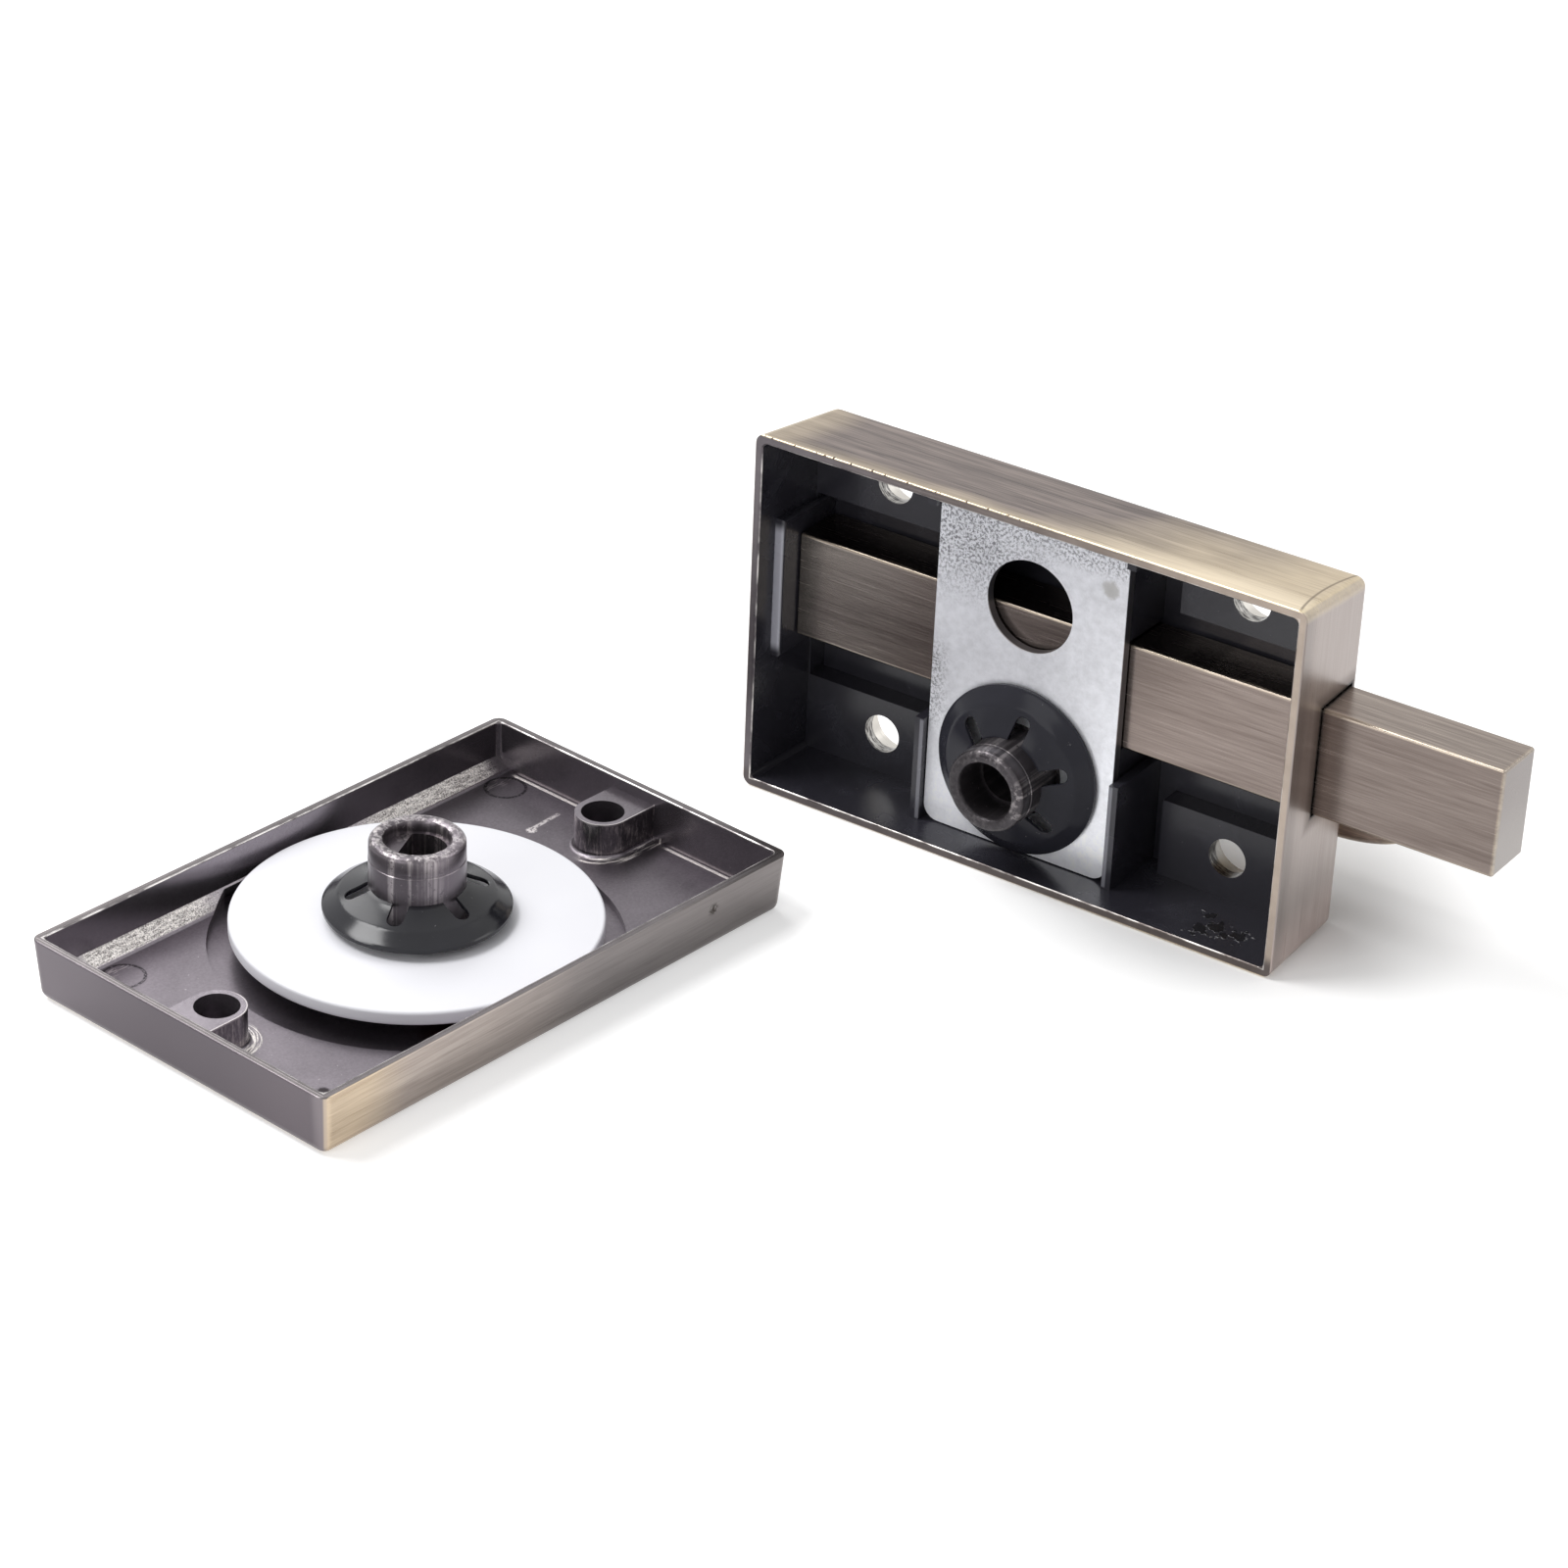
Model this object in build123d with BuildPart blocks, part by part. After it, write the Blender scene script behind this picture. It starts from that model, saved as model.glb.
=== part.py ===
"""Indicator bolt for a cubicle door, in its two halves as they lie apart.

The bolt half stands on its long lower edge with its open back towards -Y.
The indicator half lies in front of it on its face, with its open back up.
Millimetres, +Z up. The origin is the middle of the ground that both cover.
"""
import os
from math import cos, radians, sin

from build123d import *

os.makedirs("parts", exist_ok=True)

# Both castings share one outline
cover_length = 93.0
cover_width = 59.0
corner_radius = 1.6

# Bolt half: place of the middle of its rim, then depths counted from the rim
case_x = 6.72
case_y = 43.275
case_depth = 19.8
case_wall = 1.4
case_side_taper = 0.9
case_top_taper = 2.2
case_edge_round = 1.6
rim_edge_round = 0.25
shelf_depth = 14.0
channel_depth = 17.8
channel_bottom = 13.9
channel_top = 44.8
left_shelf_end = -19.4
right_shelf_start = 19.1
screw_pitch_x = 61.0
screw_row_inset = 8.4
screw_row_drop = 0.35
screw_hole_radius = 3.1
screw_wall = 2.0
screw_head_radius = 4.7

# Shaft line of the bolt half, measured from the middle of the rim
spindle_x = -1.5
spindle_z = 15.4
stub_radius = 6.55
stub_proud = 3.0
stub_bore_radius = 4.4
stub_bore_length = 6.0
stub_chamfer = 0.5
bore_chamfer = 0.3
socket_length = 7.0
socket_flat = 3.0
socket_step = 0.4
journal_flat = 6.4
run_gap = 0.08
seat_gap = 0.03

# Sliding bolt
bolt_near_depth = 8.3
bolt_thickness = 9.2
bolt_bottom = 23.4
bolt_height = 17.1
bolt_proud = 28.4
bolt_gap = 0.3
bolt_edge_round = 0.5

# Crank between shaft and bolt
crank_radius = 13.0
crank_swing = 45.0
crank_pin_radius = 2.0
crank_pin_gap = 0.5
crank_pin_inset = 0.4
arm_thickness = 2.1
arm_hub_radius = 9.6
arm_tip_radius = 3.0
arm_gap = 0.3

# Retaining plate with its ribs and guides
plate_width = 32.1
plate_thickness = 1.6
plate_bottom = 1.6
plate_top_inset = 2.8
plate_hole_radius = 7.3
plate_hole_pitch = 26.7
plate_corner = 2.5
plate_gap = 0.15
rib_thickness = 1.5
rib_proud = 1.2
lower_rib_top = 18.6
upper_rib_length = 1.6
guide_width = 2.9

# Stop pad inside the left wall
pad_thickness = 0.8
pad_bottom = 21.0
pad_top = 44.0
pad_near_depth = 4.0
pad_gap = 0.15

# Push-on washers, one in each half
washer_radius = 13.6
washer_rise = 4.2
washer_thickness = 0.8
washer_crease_radius = 11.3
washer_crease_rise = 1.15
washer_slots = 6
washer_slot_width = 2.0
washer_slot_reach = 10.4
bolt_washer_turn = 18.0
bolt_washer_lift = 0.05
disc_washer_turn = 26.0
disc_washer_lift = 1.1

# Nylon bush in the front wall
bush_wall = 1.5
bush_flange_radius = 11.4
bush_flange_thickness = 0.9

# Turn lever with the spring washer under it
friction_radius = 10.9
friction_thickness = 0.5
lever_gap = 0.1
lever_hub_radius = 10.8
lever_hub_height = 11.4
lever_hub_round = 1.6
lever_reach = 55.6
lever_root_width = 15.0
lever_tip_width = 9.4
lever_tip_run = 13.0
lever_root_lift = 0.8
lever_tip_lift = 4.2
lever_root_drop = 1.2
lever_tip_drop = 2.9
lever_edge_round = 1.3
lever_end_wall = 2.4
lever_bore_spare = 0.3
screw_radius = 2.0
screw_length = 3.6
screw_lift = 3.6
screw_hex_radius = 1.15
screw_hex_depth = 1.8

# Indicator half: place of its middle, then heights counted from its face
tray_x = -47.21
tray_y = -26.605
tray_turn = 83.5
tray_height = 9.6
tray_wall = 1.35
tray_taper = 0.6
tray_face_round = 1.6
tray_floor = 2.2
tray_floor_chamfer = 2.2
pocket_gap = 3.1
pocket_floor = 1.0
post_pitch = 76.8
post_height = 7.8
post_bore_radius = 3.25
post_bore_floor = 1.2
post_wall = 0.95
post_foot = 0.7
collar_radius = 11.0
collar_top = 3.6

# Indicator disc, its shaft and its window
disc_inset = 2.6
disc_thickness = 2.2
disc_bottom = 4.3
disc_edge_round = 0.5
label_thickness = 0.2
label_inner_radius = 12.5
label_edge_inset = 1.1
label_gap_angle = 6.0
window_angle = 0.0
window_inner_radius = 14.0
window_edge_inset = 2.9
window_arc_angle = 64.0
lens_lap_angle = 3.0
lens_lap = 1.2
lens_thickness = 0.9
thrust_radius = 10.6
thrust_thickness = 0.6
coin_radius = 9.4
coin_lift = 0.1
coin_gap = 0.2
coin_thickness = 1.0
coin_slot_width = 1.8
coin_slot_length = 13.0
coin_slot_depth = 0.6
release_top = 19.1
release_hole_radius = 8.2
release_stub_radius = 7.0
release_flat_gap = 0.1
release_edge_round = 0.7
release_bore_radius = 4.7
release_bore_length = 2.1
release_socket_flat = 2.2
release_socket_turn = 115.0

# Worked out from the values above
case_half_length = cover_length / 2
case_inner_left = -case_half_length + case_side_taper + case_wall
case_inner_right = case_half_length - case_side_taper - case_wall
case_inner_top = cover_width - case_top_taper - case_wall
plate_back_depth = bolt_near_depth - bolt_gap
plate_near_depth = plate_back_depth - plate_thickness
plate_top = cover_width - plate_top_inset
upper_rib_bottom = case_inner_top - upper_rib_length
plate_left = spindle_x - plate_width / 2
plate_right = spindle_x + plate_width / 2
bolt_top = bolt_bottom + bolt_height
bolt_left = case_inner_left + pad_thickness + pad_gap
bolt_right = case_half_length + bolt_proud
crank_offset = crank_radius * sin(radians(crank_swing))
crank_rise = crank_radius * cos(radians(crank_swing))
bolt_travel = 2 * crank_offset
arm_far_depth = channel_depth - arm_gap
arm_near_depth = arm_far_depth - arm_thickness
journal_radius = plate_hole_radius - run_gap
bush_radius = plate_hole_radius + bush_wall
flange_depth = case_depth + bush_flange_thickness
lever_near_depth = flange_depth + friction_thickness + lever_gap
lever_far_depth = lever_near_depth + lever_hub_height
journal_end_depth = lever_far_depth - lever_end_wall - lever_bore_spare
screw_pitch_z = cover_width - 2 * screw_row_inset
disc_radius = cover_width / 2 - disc_inset
pocket_radius = disc_radius + pocket_gap
label_outer_radius = disc_radius - label_edge_inset
label_arc_angle = 90 - label_gap_angle
window_outer_radius = disc_radius - window_edge_inset
release_journal_radius = release_hole_radius - run_gap
release_flat = release_stub_radius + release_flat_gap
disc_top = disc_bottom + disc_thickness
coin_recess = coin_lift + coin_thickness + coin_gap


def at_depth(depth):
    """Sketch plane of the bolt half at a depth behind its rim: X across, Z up."""
    return Plane(origin=(case_x, case_y + depth, 0), x_dir=(1, 0, 0), z_dir=(0, -1, 0))


def spindle_plane(depth):
    """Sketch plane on the bolt half's shaft line, facing out of its open back."""
    return Plane(
        origin=(case_x + spindle_x, case_y + depth, spindle_z),
        x_dir=(1, 0, 0),
        z_dir=(0, -1, 0),
    )


def tray_plane(height, extra_turn=0):
    """Sketch plane of the indicator half at a height above its face."""
    turn = radians(tray_turn + extra_turn)
    return Plane(
        origin=(tray_x, tray_y, height),
        x_dir=(cos(turn), sin(turn), 0),
        z_dir=(0, 0, 1),
    )


def side_plane(base):
    """Plane that stands on the base plane and holds its normal, for turned profiles."""
    return Plane(origin=base.origin, x_dir=base.x_dir, z_dir=base.y_dir * -1)


def span(x_low, x_high, y_low, y_high):
    """Rectangle between two corners."""
    with Locations(((x_low + x_high) / 2, (y_low + y_high) / 2)):
        Rectangle(x_high - x_low, y_high - y_low)


def ring_sector(inner_radius, outer_radius, middle_angle, angle):
    """Face between two arcs about the sketch's origin."""
    start = middle_angle - angle / 2
    with BuildLine() as outline:
        outer = CenterArc((0, 0), outer_radius, start, angle)
        inner = CenterArc((0, 0), inner_radius, start, angle)
        Line(outer @ 0, inner @ 0)
        Line(outer @ 1, inner @ 1)
    make_face(outline.edges())


def flatted_circle(radius, half_flat):
    """Shaft section with two parallel flats, or the hole that fits it."""
    Circle(radius)
    Rectangle(3 * radius, 2 * half_flat, mode=Mode.INTERSECT)


def flat_socket(radius, flat):
    """Round socket with one flat, for a driving rod."""
    Circle(radius)
    with Locations((flat - 2 * radius, 0)):
        Rectangle(4 * radius, 4 * radius, mode=Mode.INTERSECT)


def case_outline(depth, inset):
    """Outline of the bolt half's casting at a depth, in from its outer face."""
    share = depth / case_depth
    half_length = case_half_length - case_side_taper * share - inset
    top = cover_width - case_top_taper * share - inset
    with Locations((0, (inset + top) / 2)):
        RectangleRounded(2 * half_length, top - inset, corner_radius - inset / 2)


def tray_outline(height, inset):
    """Outline of the indicator half's casting at a height, in from its outer face."""
    side = tray_taper * (1 - height / tray_height) + inset
    RectangleRounded(
        cover_length - 2 * side, cover_width - 2 * side, corner_radius - inset / 2
    )


def push_washer(seat, held_radius, slot_turn):
    """Domed washer whose tines grip a stub, with its rim on the seat plane."""
    grip_radius = held_radius + seat_gap
    middle_radius = (washer_crease_radius + grip_radius) / 2
    middle_rise = (washer_crease_rise + washer_rise) / 2
    with BuildPart() as washer:
        with BuildSketch(side_plane(seat)):
            with BuildLine():
                Polyline(
                    (washer_crease_radius, washer_crease_rise),
                    (washer_radius - washer_thickness, 0),
                    (washer_radius, 0),
                    (washer_radius, washer_thickness / 2),
                    (washer_radius - washer_thickness / 2, washer_thickness),
                    (washer_crease_radius, washer_crease_rise + washer_thickness),
                )
                ThreePointArc(
                    (washer_crease_radius, washer_crease_rise + washer_thickness),
                    (middle_radius, middle_rise + 0.55 * washer_thickness),
                    (grip_radius, washer_rise),
                )
                Line((grip_radius, washer_rise), (grip_radius, washer_rise - washer_thickness))
                ThreePointArc(
                    (grip_radius, washer_rise - washer_thickness),
                    (middle_radius, middle_rise - 0.45 * washer_thickness),
                    (washer_crease_radius, washer_crease_rise),
                )
            make_face()
        revolve(axis=Axis(seat.origin, seat.z_dir))
        with BuildSketch(seat):
            with PolarLocations(washer_slot_reach / 2, washer_slots, start_angle=slot_turn):
                SlotOverall(washer_slot_reach, washer_slot_width)
        extrude(amount=2 * washer_rise, mode=Mode.SUBTRACT)
    return washer


# Casting of the bolt half
with BuildPart() as bolt_case:
    with BuildSketch(at_depth(0)):
        case_outline(0, 0)
    with BuildSketch(at_depth(case_depth)):
        case_outline(case_depth, 0)
    loft(ruled=True)
    fillet(bolt_case.faces().sort_by(Axis.Y)[-1].edges(), case_edge_round)

    # The hollow down to the shelves
    with BuildSketch(at_depth(0)):
        case_outline(0, case_wall)
    with BuildSketch(at_depth(shelf_depth)):
        case_outline(shelf_depth, case_wall)
    loft(ruled=True, mode=Mode.SUBTRACT)
    fillet(bolt_case.faces().sort_by(Axis.Y)[0].edges(), rim_edge_round)

    # The well behind the plate and the channel that the bolt slides in
    with BuildSketch(at_depth(shelf_depth)):
        span(left_shelf_end, right_shelf_start, case_wall, case_inner_top)
        span(case_inner_left, case_inner_right, channel_bottom, channel_top)
    extrude(amount=shelf_depth - channel_depth, mode=Mode.SUBTRACT)

    # Locating ribs beside the plate
    rib_near_depth = plate_near_depth - rib_proud
    with BuildSketch(at_depth(rib_near_depth)):
        for rib_low in (plate_left - plate_gap - rib_thickness, plate_right + plate_gap):
            span(rib_low, rib_low + rib_thickness, case_wall / 2, lower_rib_top)
            span(rib_low, rib_low + rib_thickness, upper_rib_bottom, case_inner_top + case_wall / 2)
    extrude(amount=rib_near_depth - channel_depth - case_wall / 2)

    # Guides behind the plate, which seat it and keep the bolt level
    with BuildSketch(at_depth(plate_back_depth)):
        for guide_low in (plate_left + plate_gap, plate_right - plate_gap - guide_width):
            guide_high = guide_low + guide_width
            span(guide_low, guide_high, case_wall / 2, bolt_bottom - bolt_gap)
            span(guide_low, guide_high, bolt_top + bolt_gap, case_inner_top + case_wall / 2)
    extrude(amount=plate_back_depth - channel_depth - case_wall / 2)

    # Stop pad on the left wall, where the bolt's tail comes to rest
    pad_face = case_inner_left + pad_thickness
    with BuildSketch(at_depth(pad_near_depth)):
        span(-case_half_length + case_wall, pad_face, pad_bottom, pad_top)
    extrude(amount=pad_near_depth - channel_depth)
    pad_front = [
        face
        for face in bolt_case.faces().filter_by(Plane.YZ)
        if abs(face.center().X - case_x - pad_face) < 0.01
    ]
    fillet(pad_front[0].edges().sort_by(Axis.Y)[:-1], 0.7 * pad_thickness)

    # Slot in the right wall for the bolt
    slot_plane = Plane(origin=(case_x, case_y, 0), x_dir=(0, 1, 0), z_dir=(1, 0, 0))
    with BuildSketch(slot_plane.offset(right_shelf_start)):
        span(bolt_near_depth - bolt_gap, channel_depth, bolt_bottom - bolt_gap, bolt_top + bolt_gap)
    extrude(amount=case_half_length - right_shelf_start, mode=Mode.SUBTRACT)

    # Four screw holes through the shelves, with a recess for each head from the face
    with BuildSketch(at_depth(shelf_depth)):
        with Locations((0, cover_width / 2 - screw_row_drop)):
            with GridLocations(screw_pitch_x, screw_pitch_z, 2, 2):
                Circle(screw_hole_radius)
    extrude(amount=shelf_depth - case_depth, mode=Mode.SUBTRACT)
    with BuildSketch(at_depth(case_depth)):
        with Locations((0, cover_width / 2 - screw_row_drop)):
            with GridLocations(screw_pitch_x, screw_pitch_z, 2, 2):
                Circle(screw_head_radius)
    extrude(amount=case_depth - shelf_depth - screw_wall, mode=Mode.SUBTRACT)

    # Hole for the nylon bush
    with BuildSketch(spindle_plane(case_depth)):
        Circle(bush_radius + seat_gap)
    extrude(amount=case_depth - channel_depth, mode=Mode.SUBTRACT)
bolt_case.part.label = "bolt_case"
export_step(bolt_case.part, "parts/bolt_case.step")

# Bolt that slides to the right through the case's end wall
with BuildPart() as sliding_bolt:
    with BuildSketch(at_depth(bolt_near_depth)):
        span(bolt_left, bolt_right, bolt_bottom, bolt_top)
    extrude(amount=-bolt_thickness)
    fillet(sliding_bolt.edges().filter_by(Axis.X), bolt_edge_round)
    fillet(sliding_bolt.faces().sort_by(Axis.X)[-1].edges(), bolt_edge_round)
    fillet(sliding_bolt.faces().sort_by(Axis.X)[0].edges(), bolt_edge_round / 2)

    # Notch for the crank's pin
    notch_half = crank_pin_radius + crank_pin_gap
    notch_x = spindle_x - crank_offset
    notch_top = spindle_z + crank_radius + notch_half
    with BuildSketch(at_depth(bolt_near_depth)):
        span(notch_x - notch_half, notch_x + notch_half, bolt_bottom, notch_top - notch_half)
        with Locations((notch_x, notch_top - notch_half)):
            Circle(notch_half)
    extrude(amount=-bolt_thickness, mode=Mode.SUBTRACT)

    # Relief on the far side, in which the crank's arm swings
    relief_depth = arm_near_depth - arm_gap
    relief_half = arm_hub_radius + 1.0
    relief_top = spindle_z + crank_radius + arm_tip_radius + arm_gap
    with BuildSketch(at_depth(relief_depth)):
        span(
            spindle_x - bolt_travel - relief_half,
            spindle_x + relief_half,
            bolt_bottom,
            relief_top,
        )
    extrude(amount=-bolt_thickness, mode=Mode.SUBTRACT)
sliding_bolt.part.label = "sliding_bolt"
export_step(sliding_bolt.part, "parts/sliding_bolt.step")

# Steel plate that keeps the bolt in its channel
with BuildPart() as retaining_plate:
    with BuildSketch(at_depth(plate_back_depth)):
        with Locations((spindle_x, (plate_bottom + plate_top) / 2)):
            RectangleRounded(plate_width, plate_top - plate_bottom, plate_corner)
        with Locations((spindle_x, spindle_z), (spindle_x, spindle_z + plate_hole_pitch)):
            Circle(plate_hole_radius, mode=Mode.SUBTRACT)
    extrude(amount=plate_thickness)
retaining_plate.part.label = "retaining_plate"
export_step(retaining_plate.part, "parts/retaining_plate.step")

# Shaft: open stub towards the rim, round journal, then two flats to its end
with BuildPart() as drive_shaft:
    with BuildSketch(spindle_plane(plate_near_depth)):
        Circle(stub_radius)
    extrude(amount=plate_near_depth + stub_proud)
    chamfer(drive_shaft.faces().sort_by(Axis.Y)[0].edges(), stub_chamfer)
    with BuildSketch(spindle_plane(arm_near_depth)):
        Circle(journal_radius)
    extrude(amount=arm_near_depth - plate_near_depth)
    with BuildSketch(spindle_plane(journal_end_depth)):
        flatted_circle(journal_radius, journal_flat)
    extrude(amount=journal_end_depth - arm_near_depth)
    with BuildSketch(spindle_plane(-stub_proud)):
        Circle(stub_bore_radius)
    extrude(amount=-stub_bore_length, mode=Mode.SUBTRACT)
    stub_face = drive_shaft.faces().sort_by(Axis.Y)[0]
    chamfer(stub_face.edges().sort_by(SortBy.RADIUS)[0], bore_chamfer)
    with BuildSketch(spindle_plane(stub_bore_length - stub_proud)):
        flat_socket(stub_bore_radius - socket_step, socket_flat)
    extrude(amount=-socket_length, mode=Mode.SUBTRACT)
drive_shaft.part.label = "drive_shaft"
export_step(drive_shaft.part, "parts/drive_shaft.step")

# Crank on the shaft's flats, with the pin that drives the bolt
with BuildPart() as drive_crank:
    with BuildSketch(spindle_plane(arm_far_depth)):
        Circle(arm_hub_radius)
        with Locations((-crank_offset, crank_rise)):
            Circle(arm_tip_radius)
        make_hull()
    extrude(amount=arm_thickness)
    with BuildSketch(spindle_plane(arm_near_depth)):
        with Locations((-crank_offset, crank_rise)):
            Circle(crank_pin_radius)
    extrude(amount=arm_near_depth - bolt_near_depth - crank_pin_inset)
    with BuildSketch(spindle_plane(arm_far_depth)):
        flatted_circle(journal_radius + seat_gap, journal_flat + seat_gap)
    extrude(amount=arm_thickness, mode=Mode.SUBTRACT)
drive_crank.part.label = "drive_crank"
export_step(drive_crank.part, "parts/drive_crank.step")

# Push-on washer that keeps the shaft in the plate
bolt_push_washer = push_washer(
    spindle_plane(plate_near_depth - bolt_washer_lift), stub_radius, bolt_washer_turn
)
bolt_push_washer.part.label = "bolt_push_washer"
export_step(bolt_push_washer.part, "parts/bolt_push_washer.step")

# Nylon bush in the front wall, with its flange under the lever
with BuildPart() as hub_bush:
    with BuildSketch(spindle_plane(case_depth)):
        Circle(bush_radius)
    extrude(amount=case_depth - channel_depth)
    with BuildSketch(spindle_plane(flange_depth)):
        Circle(bush_flange_radius)
    extrude(amount=bush_flange_thickness)
    chamfer(hub_bush.faces().sort_by(Axis.Y)[-1].edges(), 0.25)
    with BuildSketch(spindle_plane(flange_depth)):
        Circle(plate_hole_radius)
    extrude(amount=flange_depth - channel_depth, mode=Mode.SUBTRACT)
hub_bush.part.label = "hub_bush"
export_step(hub_bush.part, "parts/hub_bush.step")

# Spring washer that gives the lever its drag
with BuildPart() as friction_washer:
    with BuildSketch(spindle_plane(flange_depth + friction_thickness)):
        Circle(friction_radius)
        Circle(plate_hole_radius, mode=Mode.SUBTRACT)
    extrude(amount=friction_thickness)
friction_washer.part.label = "friction_washer"
export_step(friction_washer.part, "parts/friction_washer.step")

# Turn lever on the case's face, pointing the way that the bolt slides
with BuildPart() as turn_lever:
    with BuildSketch(spindle_plane(lever_far_depth)):
        with BuildLine():
            tip_x = lever_reach - lever_tip_run
            Polyline(
                (tip_x, lever_tip_width / 2),
                (0, lever_root_width / 2),
                (0, -lever_root_width / 2),
                (tip_x, -lever_tip_width / 2),
            )
            EllipticalCenterArc(
                (tip_x, 0), lever_tip_run, lever_tip_width / 2, start_angle=-90, arc_size=180
            )
        make_face()
    extrude(amount=lever_hub_height)

    # Side profile of the arm: it leans away from the case and thins to its tip
    lever_side = Plane(
        origin=(case_x + spindle_x, case_y, spindle_z), x_dir=(1, 0, 0), z_dir=(0, 0, 1)
    )
    with BuildSketch(lever_side):
        with BuildLine():
            Polyline(
                (-1, lever_near_depth + lever_root_lift),
                (lever_reach + 1, lever_near_depth + lever_tip_lift),
                (lever_reach + 1, lever_far_depth - lever_tip_drop),
                (-1, lever_far_depth - lever_root_drop),
                close=True,
            )
        make_face()
    extrude(amount=lever_root_width, both=True, mode=Mode.INTERSECT)
    arm_edges = [edge for edge in turn_lever.edges() if edge.center().X > case_x + spindle_x + 1]
    fillet(arm_edges, lever_edge_round)

    # Hub over the shaft's end
    with BuildSketch(spindle_plane(lever_far_depth)):
        Circle(lever_hub_radius)
    extrude(amount=lever_hub_height)
    hub_rim = turn_lever.edges().filter_by(GeomType.CIRCLE).sort_by(Axis.Y)[-1]
    fillet(hub_rim, lever_hub_round)
    with BuildSketch(spindle_plane(lever_near_depth)):
        flatted_circle(journal_radius + seat_gap, journal_flat + seat_gap)
    extrude(amount=lever_near_depth - journal_end_depth - lever_bore_spare, mode=Mode.SUBTRACT)

    # Hole for the grub screw, from below onto the shaft's flat
    screw_plane = Plane(
        origin=(case_x + spindle_x, case_y + lever_near_depth + screw_lift, spindle_z),
        x_dir=(1, 0, 0),
        z_dir=(0, 0, -1),
    )
    with BuildSketch(screw_plane):
        Circle(screw_radius + seat_gap)
    extrude(amount=lever_hub_radius + 1, mode=Mode.SUBTRACT)
turn_lever.part.label = "turn_lever"
export_step(turn_lever.part, "parts/turn_lever.step")

# Grub screw that clamps the lever to the shaft
with BuildPart() as lever_grub_screw:
    with BuildSketch(screw_plane.offset(journal_flat + seat_gap)):
        Circle(screw_radius)
    extrude(amount=screw_length)
    with BuildSketch(screw_plane.offset(journal_flat + seat_gap + screw_length)):
        RegularPolygon(screw_hex_radius, 6)
    extrude(amount=-screw_hex_depth, mode=Mode.SUBTRACT)
lever_grub_screw.part.label = "lever_grub_screw"
export_step(lever_grub_screw.part, "parts/lever_grub_screw.step")

# Casting of the indicator half
with BuildPart() as indicator_case:
    with BuildSketch(tray_plane(0)):
        tray_outline(0, 0)
    with BuildSketch(tray_plane(tray_height)):
        tray_outline(tray_height, 0)
    loft(ruled=True)
    fillet(indicator_case.faces().sort_by(Axis.Z)[0].edges(), tray_face_round)
    with BuildSketch(tray_plane(tray_floor)):
        tray_outline(tray_floor, tray_wall)
    with BuildSketch(tray_plane(tray_height)):
        tray_outline(tray_height, tray_wall)
    loft(ruled=True, mode=Mode.SUBTRACT)
    fillet(indicator_case.faces().sort_by(Axis.Z)[-1].edges(), rim_edge_round)

    # Sloped band between the floor and each long wall
    tray_axis = tray_plane(0)
    with BuildSketch(Plane(tray_axis.origin, x_dir=tray_axis.y_dir, z_dir=tray_axis.x_dir)):
        foot_y = cover_width / 2 - tray_wall - tray_taper
        for side in (-1, 1):
            with BuildLine():
                Polyline(
                    (side * (foot_y - tray_floor_chamfer), tray_floor - 0.2),
                    (side * (foot_y - tray_floor_chamfer), tray_floor),
                    (side * (foot_y + tray_wall / 2), tray_floor + tray_floor_chamfer),
                    (side * (foot_y + tray_wall / 2), tray_floor - 0.2),
                    close=True,
                )
            make_face()
    extrude(amount=cover_length / 2 - tray_wall / 2 - tray_taper, both=True)

    # Round pocket for the disc, cut short by the long walls
    with BuildSketch(tray_plane(pocket_floor)):
        Circle(pocket_radius)
        Rectangle(cover_length, cover_width - 2 * tray_wall - 2 * tray_taper, mode=Mode.INTERSECT)
    extrude(amount=tray_height, mode=Mode.SUBTRACT)

    # Collar around the shaft and a post at each end for the joining screws
    with BuildSketch(tray_plane(0)):
        Circle(collar_radius)
    extrude(amount=collar_top)
    post_radius = post_bore_radius + post_wall
    with BuildSketch(tray_plane(tray_floor - 0.2)):
        for side in (-1, 1):
            with Locations((side * post_pitch / 2, 0)):
                Circle(post_radius)
            wall_x = cover_length / 2 - tray_wall / 2 - tray_taper
            with Locations((side * (post_pitch / 2 + wall_x) / 2, 0)):
                Rectangle(wall_x - post_pitch / 2, 2 * post_radius)
    extrude(amount=post_height - tray_floor + 0.2)
    post_feet = [
        edge
        for edge in indicator_case.edges().filter_by(GeomType.CIRCLE)
        if abs(edge.center().Z - tray_floor) < 0.01 and abs(edge.radius - post_radius) < 0.01
    ]
    fillet(post_feet, post_foot)
    with BuildSketch(tray_plane(post_bore_floor)):
        with Locations((-post_pitch / 2, 0), (post_pitch / 2, 0)):
            Circle(post_bore_radius)
    extrude(amount=tray_height, mode=Mode.SUBTRACT)

    # Shaft hole with the coin head's recess, and the window
    with BuildSketch(tray_plane(0)):
        Circle(release_hole_radius)
    extrude(amount=collar_top, mode=Mode.SUBTRACT)
    with BuildSketch(tray_plane(0)):
        Circle(coin_radius + coin_gap)
    extrude(amount=coin_recess, mode=Mode.SUBTRACT)
    with BuildSketch(tray_plane(0)):
        ring_sector(window_inner_radius, window_outer_radius, window_angle, window_arc_angle)
    extrude(amount=pocket_floor, mode=Mode.SUBTRACT)
indicator_case.part.label = "indicator_case"
export_step(indicator_case.part, "parts/indicator_case.step")

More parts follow.
